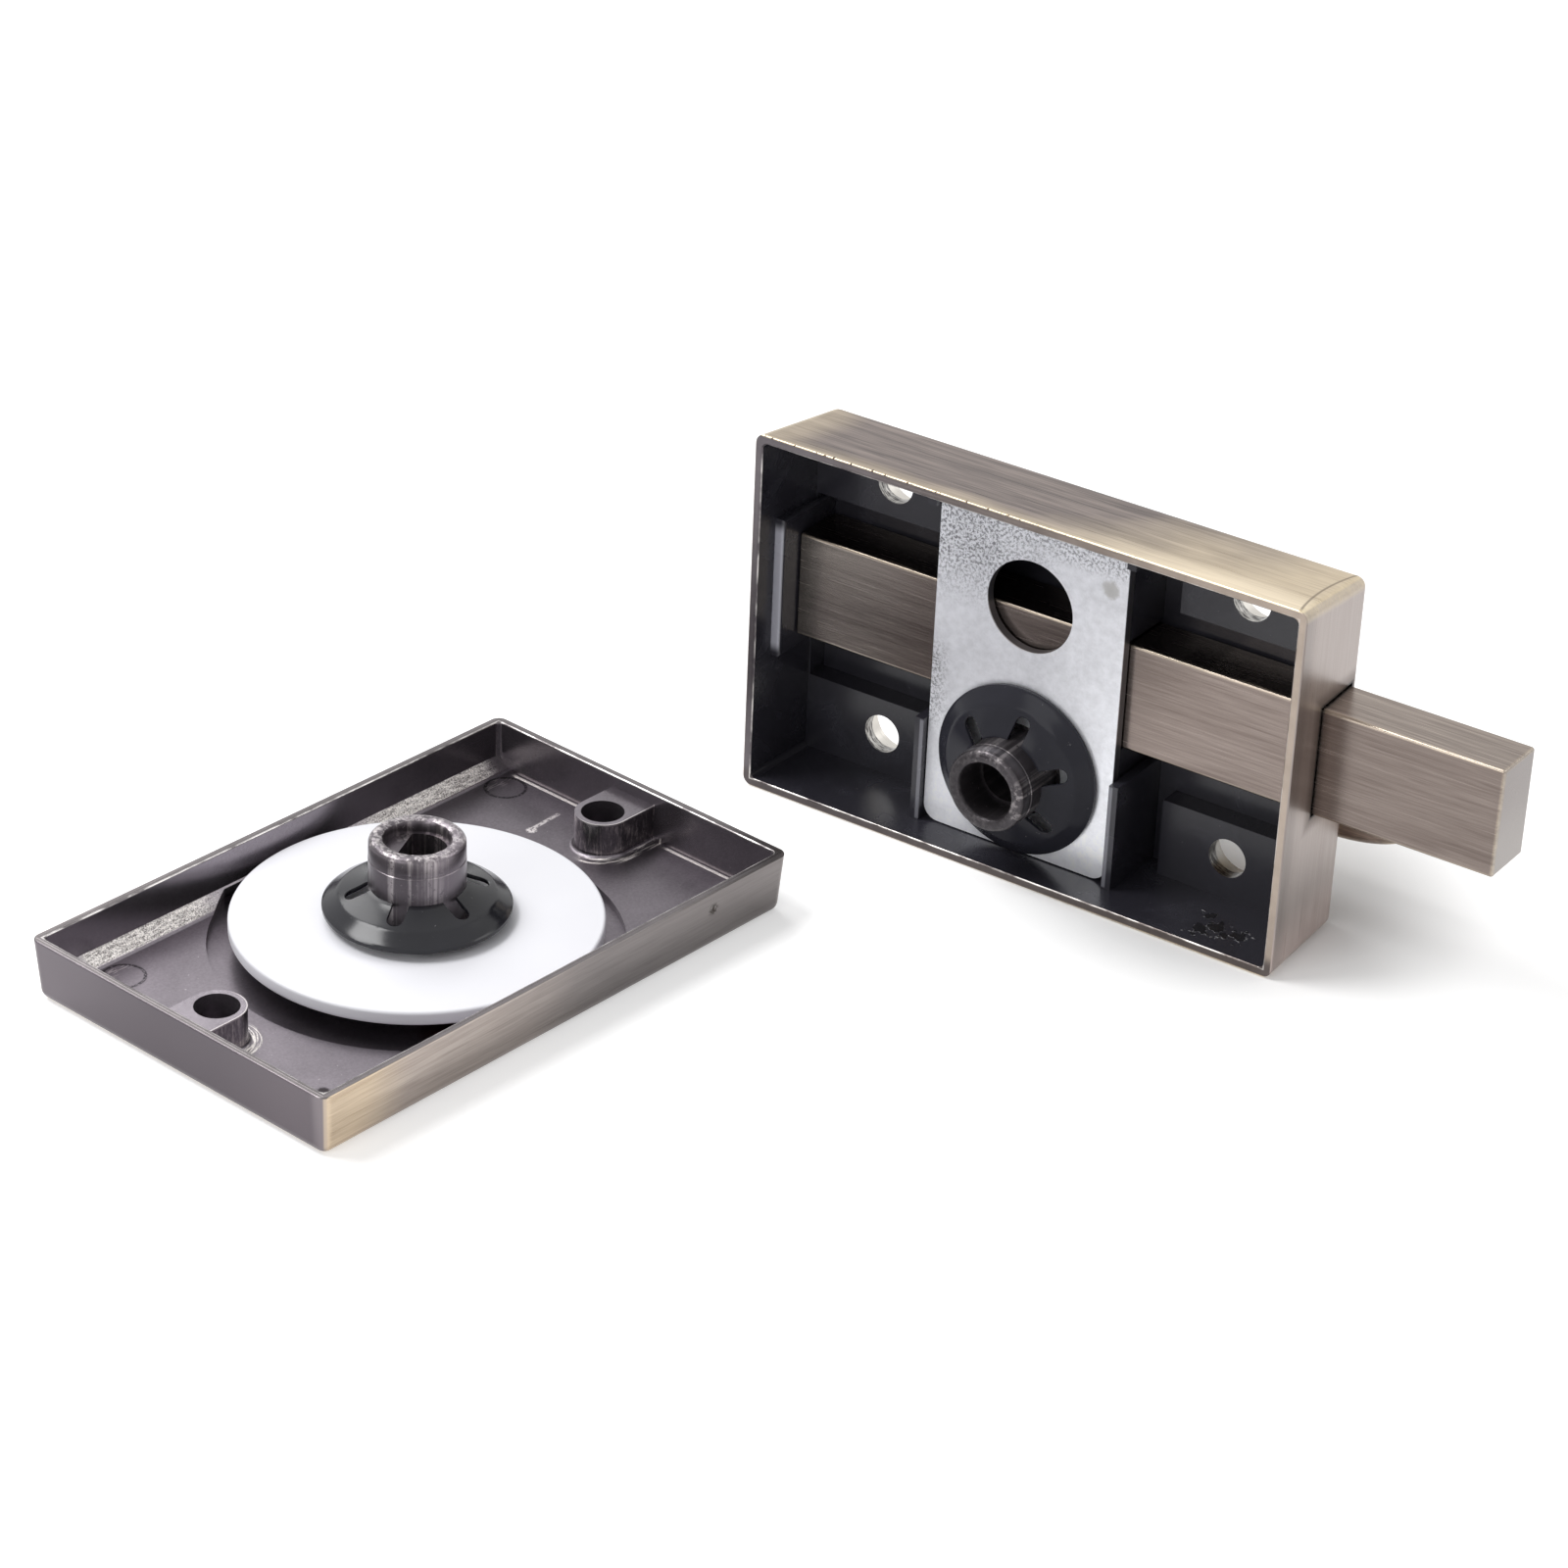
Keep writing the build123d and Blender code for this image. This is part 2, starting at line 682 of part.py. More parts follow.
# Clear lens inside the window
with BuildPart() as window_lens:
    with BuildSketch(tray_plane(pocket_floor)):
        ring_sector(
            window_inner_radius - lens_lap,
            window_outer_radius + lens_lap,
            window_angle,
            window_arc_angle + 2 * lens_lap_angle,
        )
    extrude(amount=lens_thickness)
window_lens.part.label = "window_lens"
export_step(window_lens.part, "parts/window_lens.step")

# White disc that turns behind the window
with BuildPart() as indicator_disc:
    with BuildSketch(tray_plane(disc_bottom)):
        Circle(disc_radius)
    extrude(amount=disc_thickness)
    fillet(indicator_disc.edges(), disc_edge_round)
    with BuildSketch(tray_plane(disc_bottom)):
        flatted_circle(release_journal_radius + seat_gap, release_flat + seat_gap)
    extrude(amount=disc_thickness, mode=Mode.SUBTRACT)
indicator_disc.part.label = "indicator_disc"
export_step(indicator_disc.part, "parts/indicator_disc.step")

# The two coloured fields on the disc's face side, a quarter turn apart
with BuildPart() as vacant_label:
    with BuildSketch(tray_plane(disc_bottom - label_thickness)):
        ring_sector(label_inner_radius, label_outer_radius, window_angle, label_arc_angle)
    extrude(amount=label_thickness)
vacant_label.part.label = "vacant_label"
export_step(vacant_label.part, "parts/vacant_label.step")

with BuildPart() as engaged_label:
    with BuildSketch(tray_plane(disc_bottom - label_thickness)):
        ring_sector(label_inner_radius, label_outer_radius, window_angle - 90, label_arc_angle)
    extrude(amount=label_thickness)
engaged_label.part.label = "engaged_label"
export_step(engaged_label.part, "parts/engaged_label.step")

# Release shaft: coin head in the face, journal, flats for the disc, open stub
with BuildPart() as release_shaft:
    with BuildSketch(tray_plane(coin_lift)):
        Circle(coin_radius)
    extrude(amount=coin_thickness)
    chamfer(release_shaft.faces().sort_by(Axis.Z)[0].edges(), 0.3)
    with BuildSketch(tray_plane(coin_lift + coin_thickness)):
        Circle(release_journal_radius)
    extrude(amount=disc_bottom - coin_lift - coin_thickness)
    with BuildSketch(tray_plane(disc_bottom)):
        flatted_circle(release_journal_radius, release_flat)
    extrude(amount=disc_thickness)
    with BuildSketch(tray_plane(disc_top)):
        Circle(release_stub_radius)
    extrude(amount=release_top - disc_top)
    fillet(release_shaft.faces().sort_by(Axis.Z)[-1].edges(), release_edge_round)
    with BuildSketch(tray_plane(release_top)):
        Circle(release_bore_radius)
    extrude(amount=-release_bore_length, mode=Mode.SUBTRACT)
    release_face = release_shaft.faces().sort_by(Axis.Z)[-1]
    chamfer(release_face.edges().sort_by(SortBy.RADIUS)[0], bore_chamfer)
    with BuildSketch(tray_plane(release_top - release_bore_length, release_socket_turn)):
        flat_socket(release_bore_radius - socket_step, release_socket_flat)
    extrude(amount=-socket_length, mode=Mode.SUBTRACT)
    with BuildSketch(tray_plane(coin_lift)):
        SlotOverall(coin_slot_length, coin_slot_width)
    extrude(amount=coin_slot_depth, mode=Mode.SUBTRACT)
release_shaft.part.label = "release_shaft"
export_step(release_shaft.part, "parts/release_shaft.step")

# Thrust washer between the collar and the disc
with BuildPart() as thrust_washer:
    with BuildSketch(tray_plane(collar_top)):
        Circle(thrust_radius)
        Circle(release_hole_radius, mode=Mode.SUBTRACT)
    extrude(amount=thrust_thickness)
thrust_washer.part.label = "thrust_washer"
export_step(thrust_washer.part, "parts/thrust_washer.step")

# Push-on washer that holds the disc on the release shaft
disc_push_washer = push_washer(
    tray_plane(disc_top + disc_washer_lift), release_stub_radius, disc_washer_turn
)
disc_push_washer.part.label = "disc_push_washer"
export_step(disc_push_washer.part, "parts/disc_push_washer.step")
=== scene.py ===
"""Cubicle indicator bolt, taken apart into its two halves and dressed for rendering.

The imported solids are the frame. This file gives each of them its finish, and
builds finer shapes for the shafts, the push-on washers and the disc.
"""

from math import asin, cos, pi, radians, sin, sqrt
from types import SimpleNamespace

import bmesh
import bpy
from mathutils import Euler, Matrix, Vector, noise


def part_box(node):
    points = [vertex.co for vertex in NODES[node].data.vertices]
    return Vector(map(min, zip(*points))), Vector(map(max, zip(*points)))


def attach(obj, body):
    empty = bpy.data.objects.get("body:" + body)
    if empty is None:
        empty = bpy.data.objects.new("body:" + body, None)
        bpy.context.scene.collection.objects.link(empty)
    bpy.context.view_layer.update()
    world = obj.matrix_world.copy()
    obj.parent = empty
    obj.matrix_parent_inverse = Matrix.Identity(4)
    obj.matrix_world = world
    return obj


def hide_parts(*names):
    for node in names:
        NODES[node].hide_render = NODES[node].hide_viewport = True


bl_info = {
    "name": "Indicator bolt",
    "version": (1, 0, 0),
    "blender": (4, 5, 0),
    "location": "3D View > Sidebar > Indicator bolt",
    "description": "Finishes and fine shapes for a cubicle door bolt in two halves",
    "category": "Object",
}

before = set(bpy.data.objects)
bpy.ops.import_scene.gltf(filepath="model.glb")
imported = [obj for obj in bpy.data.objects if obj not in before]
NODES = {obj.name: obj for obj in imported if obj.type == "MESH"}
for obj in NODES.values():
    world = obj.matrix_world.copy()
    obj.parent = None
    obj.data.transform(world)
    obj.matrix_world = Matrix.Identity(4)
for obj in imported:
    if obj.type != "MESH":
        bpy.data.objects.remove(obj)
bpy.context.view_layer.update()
MM = 0.001


def box_of(node):
    """Lowest and highest corner of a CAD node at rest, in millimetres."""
    low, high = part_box(node)
    return low / MM, high / MM


def middle_of(node):
    """Middle of a CAD node's box, in millimetres."""
    low, high = box_of(node)
    return (low + high) / 2


# The bolt half: its rim's middle, its shaft line and depths behind the rim, in millimetres
CASE_LOW, CASE_HIGH = box_of("bolt_case")
BOLT_LOW, BOLT_HIGH = box_of("sliding_bolt")
CASE_X = middle_of("bolt_case").x
CASE_Y = CASE_LOW.y
CASE_HALF = (CASE_HIGH.x - CASE_LOW.x) / 2
CASE_TOP = CASE_HIGH.z
CASE_DEPTH = CASE_HIGH.y - CASE_LOW.y
SIDE_LEAN = 0.9 / CASE_DEPTH
TOP_LEAN = 2.2 / CASE_DEPTH
WALL = 1.4
SCREW_X, SCREW_Z, SCREW_MIDDLE = 30.5, 21.1, 29.15
PAD_DEPTH, PAD_MIDDLE = 4.1, 32.5
RIB_LEFT, RIB_RIGHT, RIB_DEPTH, RIB_MIDDLE = -18.0, 15.0, 5.15, 10.0
SPINDLE = Vector((middle_of("bolt_push_washer").x, CASE_Y, middle_of("bolt_push_washer").z))

# Crumbs of paint on the case's lower wall: across, depth and radius
PAINT_CRUMBS = (
    (32.3, 3.8, 1.1),
    (34.3, 6.0, 1.2),
    (35.6, 4.4, 0.6),
    (38.0, 5.6, 1.2),
    (31.6, 8.2, 0.7),
)

# The indicator half: its middle, its turn and its size
TRAY = Vector((*middle_of("indicator_case").xy, 0.0))
TRAY_TURN = radians(83.5)
TRAY_HALF_X, TRAY_HALF_Y = 46.5, 29.5
TRAY_HEIGHT = box_of("indicator_case")[1].z
TRAY_LEAN, TRAY_WALL, TRAY_FLOOR = 0.6, 1.35, 2.2
POST_X = 38.4

# Marks on the indicator half, in its own axes, and on the plate, from its lowest corner
MOULD_PINS = ((40.5, 22.1), (-36.25, 21.8))
PIN_RADIUS = 3.3
WALL_MARK = (30.5, -29.3, 6.6)
FLOOR_NOTCH = (-37.0, -19.4, 2.3)
FLASH_X, FLASH_Y = 37.2, 10.7
FLASH_DROP = (34.0, 10.3, TRAY_FLOOR)
PLATE_STAIN = (29.3, 0.0, 47.4)

# The camera, fitted to corners of both halves, and the floor's painted shade beside the case
CAMERA_PLACE = (0.306875, -0.465556, 0.341803)
CAMERA_TILT, CAMERA_HEADING, CAMERA_ROLL = radians(60.9667), radians(33.6661), radians(2.5062)
SHADOW_MIDDLE = Vector((34.0, 66.0, 0.0))
SHADOW_NEAR, SHADOW_FAR = 17, 44

# Points round the turned shafts and the disc, and steps in the disc's rounded edges
SHAFT_STEPS, DISC_STEPS, EDGE_STEPS = 96, 192, 5


def linear(red, green, blue):
    """A screen colour, 0 to 255, as the linear colour that a shader takes."""
    parts = []
    for part in (red, green, blue):
        part /= 255
        parts.append(part / 12.92 if part <= 0.04045 else ((part + 0.055) / 1.055) ** 2.4)
    return tuple(parts)


# Shader maths


class Value:
    """A node's output. Plain arithmetic on it adds the Math nodes that it needs."""

    def __init__(self, sheet, socket):
        self.sheet = sheet
        self.socket = socket

    def also(self, output):
        """Another output of the same node."""
        return Value(self.sheet, self.socket.node.outputs[output])

    def __add__(self, other):
        return self.sheet.maths("ADD", self, other)

    def __radd__(self, other):
        return self.sheet.maths("ADD", other, self)

    def __sub__(self, other):
        return self.sheet.maths("SUBTRACT", self, other)

    def __rsub__(self, other):
        return self.sheet.maths("SUBTRACT", other, self)

    def __mul__(self, other):
        return self.sheet.maths("MULTIPLY", self, other)

    def __rmul__(self, other):
        return self.sheet.maths("MULTIPLY", other, self)

    def __abs__(self):
        return self.sheet.maths("ABSOLUTE", self)


class Finish:
    """A material, or the world, whose nodes are written as plain expressions."""

    def __init__(self, name, kind="materials"):
        self.owner = getattr(bpy.data, kind).new(name)
        self.owner.use_nodes = True
        self.tree = self.owner.node_tree
        self.tree.nodes.clear()

    def node(self, kind, settings=None, sockets=None, output=0):
        """Add one node: first its settings, then the values or links of its sockets."""
        made = self.tree.nodes.new(kind)
        for name, setting in (settings or {}).items():
            setattr(made, name, setting)
        for key, value in (sockets or {}).items():
            self._feed(made.inputs[key], value)
        return Value(self, made.outputs[output]) if made.outputs else None

    def _feed(self, socket, value):
        if isinstance(value, Value):
            self.tree.links.new(value.socket, socket)
        elif isinstance(value, (int, float)):
            socket.default_value = value
        elif socket.type == "RGBA":
            socket.default_value = (*tuple(value)[:3], 1.0)
        else:
            socket.default_value = tuple(value)

    def maths(self, operation, first, second=None):
        sockets = {0: first} if second is None else {0: first, 1: second}
        return self.node("ShaderNodeMath", {"operation": operation}, sockets)

    def least(self, *values):
        least = values[0]
        for value in values[1:]:
            least = self.maths("MINIMUM", least, value)
        return least

    def most(self, *values):
        most = values[0]
        for value in values[1:]:
            most = self.maths("MAXIMUM", most, value)
        return most

    def fade(self, value, low, high):
        """0 below low, 1 above high, and smooth between them. High may be the lower one."""
        settings = {"interpolation_type": "SMOOTHSTEP", "clamp": True}
        sockets = {"Value": value, "From Min": low, "From Max": high}
        return self.node("ShaderNodeMapRange", settings, sockets)

    def level(self, value, low, high):
        """0 at low and 1 at high in a straight line, and no further."""
        sockets = {"Value": value, "From Min": low, "From Max": high}
        return self.node("ShaderNodeMapRange", {"clamp": True}, sockets)

    def blend(self, first, second, share):
        """Colour mix: first where share is 0, second where it is 1."""
        settings = {"data_type": "RGBA", "clamp_factor": True}
        return self.node("ShaderNodeMix", settings, {0: share, 6: first, 7: second}, 2)

    def shade(self, colour, amount):
        """A colour made lighter or darker by a factor."""
        grey = self.node("ShaderNodeCombineXYZ", None, {0: amount, 1: amount, 2: amount})
        settings = {"data_type": "RGBA", "blend_type": "MULTIPLY", "clamp_result": False}
        return self.node("ShaderNodeMix", settings, {0: 1.0, 6: colour, 7: grey}, 2)

    def vector(self, operation, first, second):
        return self.node("ShaderNodeVectorMath", {"operation": operation}, {0: first, 1: second})

    def own_place(self, origin, turn=0.0):
        """Millimetres in the piece's own axes, from its origin."""
        place = self.node("ShaderNodeTexCoord", None, None, "Object")
        place = self.vector("SUBTRACT", place, tuple(origin * MM))
        if turn:
            sockets = {"Vector": place, "Angle": -turn}
            place = self.node("ShaderNodeVectorRotate", {"rotation_type": "Z_AXIS"}, sockets)
        sockets = {0: place, "Scale": 1 / MM}
        return self.node("ShaderNodeVectorMath", {"operation": "SCALE"}, sockets)

    def split(self, place):
        """The three numbers of a vector."""
        x = self.node("ShaderNodeSeparateXYZ", None, {0: place})
        return x, x.also("Y"), x.also("Z")

    def noise(self, place, scale, detail=2.0, rough=0.5, stretch=None, twist=0.0):
        """Noise whose scale is in features per millimetre, stretched per axis if asked."""
        if stretch:
            place = self.vector("MULTIPLY", place, stretch)
        sockets = {
            "Vector": place,
            "Scale": scale,
            "Detail": detail,
            "Roughness": rough,
            "Distortion": twist,
        }
        return self.node("ShaderNodeTexNoise", None, sockets)

    def brushed(self, place, run, lines):
        """Streaks of a brush, 0 to 1: long along one axis and fine across the others."""

        def layer(across, along, detail):
            stretch = tuple(along if axis == run else across for axis in "xyz")
            return self.noise(place, 1.0, detail, 0.6, stretch, 0.2)

        hair = layer(lines, 0.12, 2)
        band = layer(lines * 0.3, 0.05, 2)
        sweep = layer(lines * 0.08, 0.02, 1)
        return self.level(hair * 0.42 + band * 0.36 + sweep * 0.22, 0.37, 0.63)

    def away(self, place, point):
        """Distance from a point, in millimetres."""
        settings = {"operation": "DISTANCE"}
        return self.node("ShaderNodeVectorMath", settings, {0: place, 1: point}, "Value")

    def relief(self, height, distance):
        """Bump from a height of 0 to 1 that stands for a distance in millimetres."""
        sockets = {"Height": height, "Strength": 1.0, "Distance": distance * MM}
        return self.node("ShaderNodeBump", None, sockets)

    def seen_directly(self):
        """1 where the camera, a reflection or glass looks at the backdrop, and 0 for its light."""
        path = self.node("ShaderNodeLightPath")
        return self.most(path, path.also("Is Glossy Ray"), path.also("Is Transmission Ray"))

    def surface(self, colour, **sockets):
        """The finished surface. Socket names have _ for the spaces."""
        named = {"Base Color": colour}
        named.update({name.replace("_", " "): value for name, value in sockets.items()})
        shader = self.node("ShaderNodeBsdfPrincipled", None, named)
        self.node("ShaderNodeOutputMaterial", None, {"Surface": shader})
        return self.owner


def wear(finish, node):
    """Give a CAD node its finish."""
    materials = NODES[node].data.materials
    materials.clear()
    materials.append(finish)


# Sizes and colours that a user may change


def colour_property(name, description, red, green, blue):
    """A colour that a user may change, given as it looks on screen."""
    return bpy.props.FloatVectorProperty(
        name=name,
        description=description,
        subtype="COLOR",
        default=linear(red, green, blue),
        min=0,
        max=1,
    )


def length_property(name, description, default, low, high):
    """A length that a user may change, given with its limits in millimetres."""
    return bpy.props.FloatProperty(
        name=name,
        description=description,
        default=default * MM,
        min=low * MM,
        max=high * MM,
        unit="LENGTH",
    )


def power_property(name, description, default):
    """The power of a lamp."""
    return bpy.props.FloatProperty(
        name=name, description=description, default=default, min=0, unit="POWER"
    )


class BoltFinishes(bpy.types.PropertyGroup):
    """Colours of the bolt's finishes."""

    brass: colour_property(
        "Antique brass", "Brushed outside of both castings, the bolt and the lever", 150, 137, 130
    )
    worn_brass: colour_property(
        "Worn brass", "Where hands and brushing have taken the brown tone off", 222, 204, 170
    )
    inside: colour_property("Case inside", "Dark glossy inside of the bolt half", 44, 43, 50)
    gunmetal: colour_property("Gunmetal", "Bare plating inside the indicator half", 124, 118, 124)
    zinc: colour_property("Zinc", "Galvanised retaining plate", 226, 227, 232)
    spring_black: colour_property("Spring steel", "Black push-on washers", 34, 34, 40)
    shaft_grey: colour_property(
        "Shaft steel", "Dark steel of both shafts and the crank", 84, 79, 83
    )
    disc_white: colour_property(
        "Disc white", "Smooth plastic of the indicator disc", 240, 240, 245
    )
    vacant: colour_property(
        "Vacant field", "Printed field that shows while the door is free", 38, 150, 78
    )
    engaged: colour_property(
        "Engaged field", "Printed field that shows while the door is bolted", 190, 40, 38
    )


class BoltSizes(bpy.types.PropertyGroup):
    """Sizes of the shapes that this file builds."""

    washer_thickness: length_property(
        "Washer sheet", "Thickness of the push-on washers", 0.7, 0.2, 1.2
    )
    washer_crease: length_property(
        "Washer crease", "Radius at which a washer's cone meets its skirt", 11.3, 9, 13
    )
    slot_width: length_property(
        "Slot width", "Width of the slots between a washer's tines", 2.4, 0.5, 4
    )
    slot_reach: length_property("Slot reach", "Radius out to which the slots are cut", 10.4, 8, 12)
    groove_depth: length_property(
        "Tool groove", "Depth of the turned grooves on the stubs", 0.12, 0, 0.4
    )
    disc_round: length_property("Disc edge", "Rounding of the indicator disc's edges", 0.5, 0.1, 1)


class StageSettings(bpy.types.PropertyGroup):
    """Light and camera of the stage."""

    lens: bpy.props.FloatProperty(
        name="Lens",
        description="Focal length of the camera in millimetres",
        default=105.374,
        min=20,
        max=300,
    )
    key_power: power_property(
        "Key light", "Power of the key lamp; the second lamp on the left has half of it", 6.5
    )
    fill_power: power_property("Fill light", "Power of the lamp on the other side", 1.5)
    front_power: power_property(
        "Front light", "Power of the lamp in front, which lights the plate", 3.0
    )
    sky: bpy.props.FloatProperty(
        name="Room light",
        description="Strength of the even light from all sides",
        default=0.34,
        min=0,
        max=1,
    )


def sizes():
    return bpy.context.scene.bolt_sizes


def colours():
    return bpy.context.scene.bolt_finishes


# Mesh tools


def piece_from(mesh_data, name, body, node, finish, sharp=34):
    """A finished mesh as a piece that rides on its body and stands for its node.

    Edges that bend more than sharp, in degrees, stay sharp.
    """
    mesh = bpy.data.meshes.new(name)
    mesh_data.normal_update()
    mesh_data.to_mesh(mesh)
    mesh_data.free()
    mesh.shade_smooth()
    mesh.set_sharp_from_angle(angle=radians(sharp))
    piece = bpy.data.objects.new(name, mesh)
    bpy.context.scene.collection.objects.link(piece)
    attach(piece, body)
    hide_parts(node)
    mesh.materials.append(finish)


def case_axes(depth):
    """From a turned piece's own axes to the bolt half's shaft line, open back up."""
    return Matrix.Translation(Vector((SPINDLE.x, SPINDLE.y + depth, SPINDLE.z)) * MM) @ (
        Matrix(((1, 0, 0), (0, 0, -1), (0, 1, 0))).to_4x4()
    )


def tray_axes(height):
    """From a turned piece's own axes to the indicator half's shaft line."""
    return Matrix.Translation((TRAY + Vector((0, 0, height))) * MM) @ Matrix.Rotation(
        TRAY_TURN, 4, "Z"
    )


def sew(mesh_data, gap):
    """Join points that are closer than a gap in millimetres, and turn the faces outward."""
    bmesh.ops.remove_doubles(mesh_data, verts=mesh_data.verts[:], dist=gap * MM)
    bmesh.ops.recalc_face_normals(mesh_data, faces=mesh_data.faces[:])


def turned(axes, profile, count, hollow=False):
    """A turned mesh from rings of a height and an outline, which gives x, y and a lift.

    A hollow one runs from its last ring back to its first. Others have flat ends.
    """
    mesh_data = bmesh.new()
    rings = []
    for height, outline in profile:
        points = []
        for step in range(count):
            x, y, lift = outline(2 * pi * step / count)
            points.append(mesh_data.verts.new(axes @ (Vector((x, y, height + lift)) * MM)))
        rings.append(points)
    if hollow:
        rings.append(rings[0])
    for low, high in zip(rings, rings[1:]):
        for step in range(count):
            after = (step + 1) % count
            mesh_data.faces.new((low[step], low[after], high[after], high[step]))
    if not hollow:
        mesh_data.faces.new(list(reversed(rings[0])))
        mesh_data.faces.new(rings[-1])
    sew(mesh_data, 0.001)
    return mesh_data


def round_line(radius, waver=0.0, seed=0.0, lift=0.0):
    """A circle, uneven by waver where a tool has torn its edge."""

    def outline(angle):
        reach, rise = radius, 0.0
        if waver:
            spot = Vector((3 * cos(angle), 3 * sin(angle), seed))
            reach += waver * noise.noise(spot * 1.7)
            rise = lift * noise.noise(spot * 2.3 + Vector((9, 0, 0)))
        return reach * cos(angle), reach * sin(angle), rise

    return outline


def flatted_line(radius, flat):
    """A circle with two flats, at plus and minus flat."""

    def outline(angle):
        x, y = radius * cos(angle), radius * sin(angle)
        return x, max(-flat, min(flat, y)), 0.0

    return outline


def ledge_line(radius, flat, turn):
    """A circle with one flat, for a driving rod."""

    def outline(angle):
        x, y = radius * cos(angle - turn), radius * sin(angle - turn)
        x = min(x, flat)
        return x * cos(turn) - y * sin(turn), x * sin(turn) + y * cos(turn), 0.0

    return outline


def slot_line(half_length, half_width):
    """A slot with round ends."""

    def outline(angle):
        c, s = cos(angle), sin(angle)
        straight = half_length - half_width
        if abs(c) * half_width <= straight * abs(s):
            reach = half_width / abs(s)
        else:
            reach = straight * abs(c) + sqrt(max(0.0, half_width**2 - (straight * s) ** 2))
        return reach * c, reach * s, 0.0

    return outline


# Finishes


def brushed_brass(name, origin, run, lightness):
    """Brushed antique brass without zones, for the lever and its washer."""
    sheet = Finish(name)
    place = sheet.own_place(origin)
    streak = sheet.brushed(place, run, 6.0)
    cloud = sheet.noise(place, 0.06, 2, 0.5)
    tone = colours()
    worn = sheet.fade(streak * 0.2 + cloud, 0.42, 0.95)
    colour = sheet.blend(tone.brass, tone.worn_brass, worn)
    colour = sheet.shade(colour, (0.94 + streak * 0.24) * lightness)
    return sheet.surface(
        colour,
        Metallic=1.0,
        Roughness=0.26 + streak * 0.08,
        Normal=sheet.relief(streak, 0.006),
    )


def bolt_brass():
    """The bolt: fine streaks along it, worn bright edges with a painted highlight, a greyer nose,
    and painted light and shade where it runs in the case.
    """
    sheet = Finish("bolt_brass")
    fade, blend = sheet.fade, sheet.blend
    place = sheet.own_place(Vector((CASE_X, BOLT_LOW.y, BOLT_LOW.z)))
    x, y, z = sheet.split(place)
    _, thick, tall = BOLT_HIGH - BOLT_LOW
    long = BOLT_HIGH.x - CASE_X
    streak = sheet.brushed(place, "x", 6.5)
    cloud = sheet.noise(place, 0.07, 2, 0.5)
    tail = fade(x, -16, -42)
    upper = fade(z, tall - 0.5, tall - 0.3)
    end_face = fade(x, long - 0.3, long - 0.15)

    # Painted light: the tail, which stays inside the case, is lighter
    dark = blend(linear(108, 97, 92), linear(146, 139, 132), tail)
    pale = blend(linear(139, 128, 122), linear(176, 168, 160), tail)
    colour = blend(dark, pale, streak)
    top_tone = blend(linear(124, 113, 107), linear(172, 160, 150), streak)
    colour = blend(colour, top_tone, upper)

    # Painted shade on the top where the case shades it, and painted light beside the plate
    shaded_in_case = fade(x, CASE_HALF - 18.6, CASE_HALF - 20.0)
    colour = sheet.shade(colour, 1 - upper * shaded_in_case * 0.40)
    nose = blend(linear(152, 147, 144), linear(139, 133, 131), fade(z, 4, 13))
    colour = blend(colour, nose, end_face * 0.85)
    lit_beside_plate = fade(x, CASE_HALF, CASE_HALF - 4) * fade(x, 8, 14)
    colour = sheet.shade(colour, 0.93 + cloud * 0.14 + lit_beside_plate * 0.16)

    # Brown tone is gone from the edges, and a painted highlight runs along them
    gap_x, gap_y, gap_z = long - x, sheet.least(y, thick - y), sheet.least(z, tall - z)
    edge = fade(sheet.least(gap_x + gap_y, gap_y + gap_z, gap_x + gap_z), 0.60, 0.25)
    colour = blend(colour, linear(214, 200, 178), edge * (0.12 + streak * 0.36))
    nick = fade(sheet.noise(place, 0.7, 3, 0.8), 0.76, 0.80) * 0.6
    colour = blend(colour, linear(70, 62, 58), nick)
    return sheet.surface(
        colour,
        Metallic=1.0,
        Roughness=0.22 + streak * 0.06,
        Normal=sheet.relief(streak, 0.004),
    )


def case_zones(sheet):
    """Where a point of the bolt half's casting lies: gaps in millimetres, masks from 0 to 1."""
    place = sheet.own_place(Vector((CASE_X, CASE_Y, 0)))
    x, depth, z = sheet.split(place)
    side_gap = (CASE_HALF - depth * SIDE_LEAN) - abs(x)
    top_gap = (CASE_TOP - depth * TOP_LEAN) - z
    wall_gap = sheet.least(side_gap, top_gap, z)
    on_end = sheet.fade(side_gap, 1.0, 0.6)
    return SimpleNamespace(
        place=place,
        x=x,
        depth=depth,
        z=z,
        side_gap=side_gap,
        top_gap=top_gap,
        wall_gap=wall_gap,
        inside=sheet.fade(sheet.least(wall_gap, CASE_DEPTH - depth), 0.62, 0.8),
        rim=sheet.fade(depth, 0.24, 0.12),
        on_end=on_end,
        on_top=sheet.fade(top_gap, 0.5, 0.3) * (1 - on_end),
        cloud=sheet.noise(place, 0.05, 3, 0.5),
        streak=sheet.brushed(place, "x", 3.6),
        fine=sheet.brushed(place, "z", 6.0),
    )


def case_walls(sheet, at):
    """Outside of the long walls: brown, and polished towards the right end and the rim, with a
    painted highlight near the rim at the right end.
    """
    fade, blend = sheet.fade, sheet.blend
    depth, cloud, streak = at.depth, at.cloud, at.streak
    polished = sheet.level(at.x + cloud * 30 - depth * 0.9, 12, 42)
    near_rim = fade(depth + cloud * 5, 6.4, 3.0)
    left_end = fade(at.x + cloud * 8, -33, -40)
    warm = sheet.most(polished, near_rim * 0.42, left_end * 0.5)
    dark = blend(linear(80, 69, 65), linear(184, 166, 139), warm)
    pale = blend(linear(149, 136, 130), linear(220, 204, 177), warm)
    walls = blend(dark, pale, streak)
    on_face = fade(depth, CASE_DEPTH - 0.9, CASE_DEPTH - 0.3)
    face = blend(linear(120, 108, 102), linear(154, 141, 134), streak * 0.7 + cloud * 0.3)
    # Painted highlight near the rim at the right end
    rim_highlight = polished * fade(depth + cloud * 4, 9.5, 4.0)
    walls = blend(walls, linear(252, 236, 208), rim_highlight * (0.5 + streak * 0.2))
    return blend(walls, face, on_face)


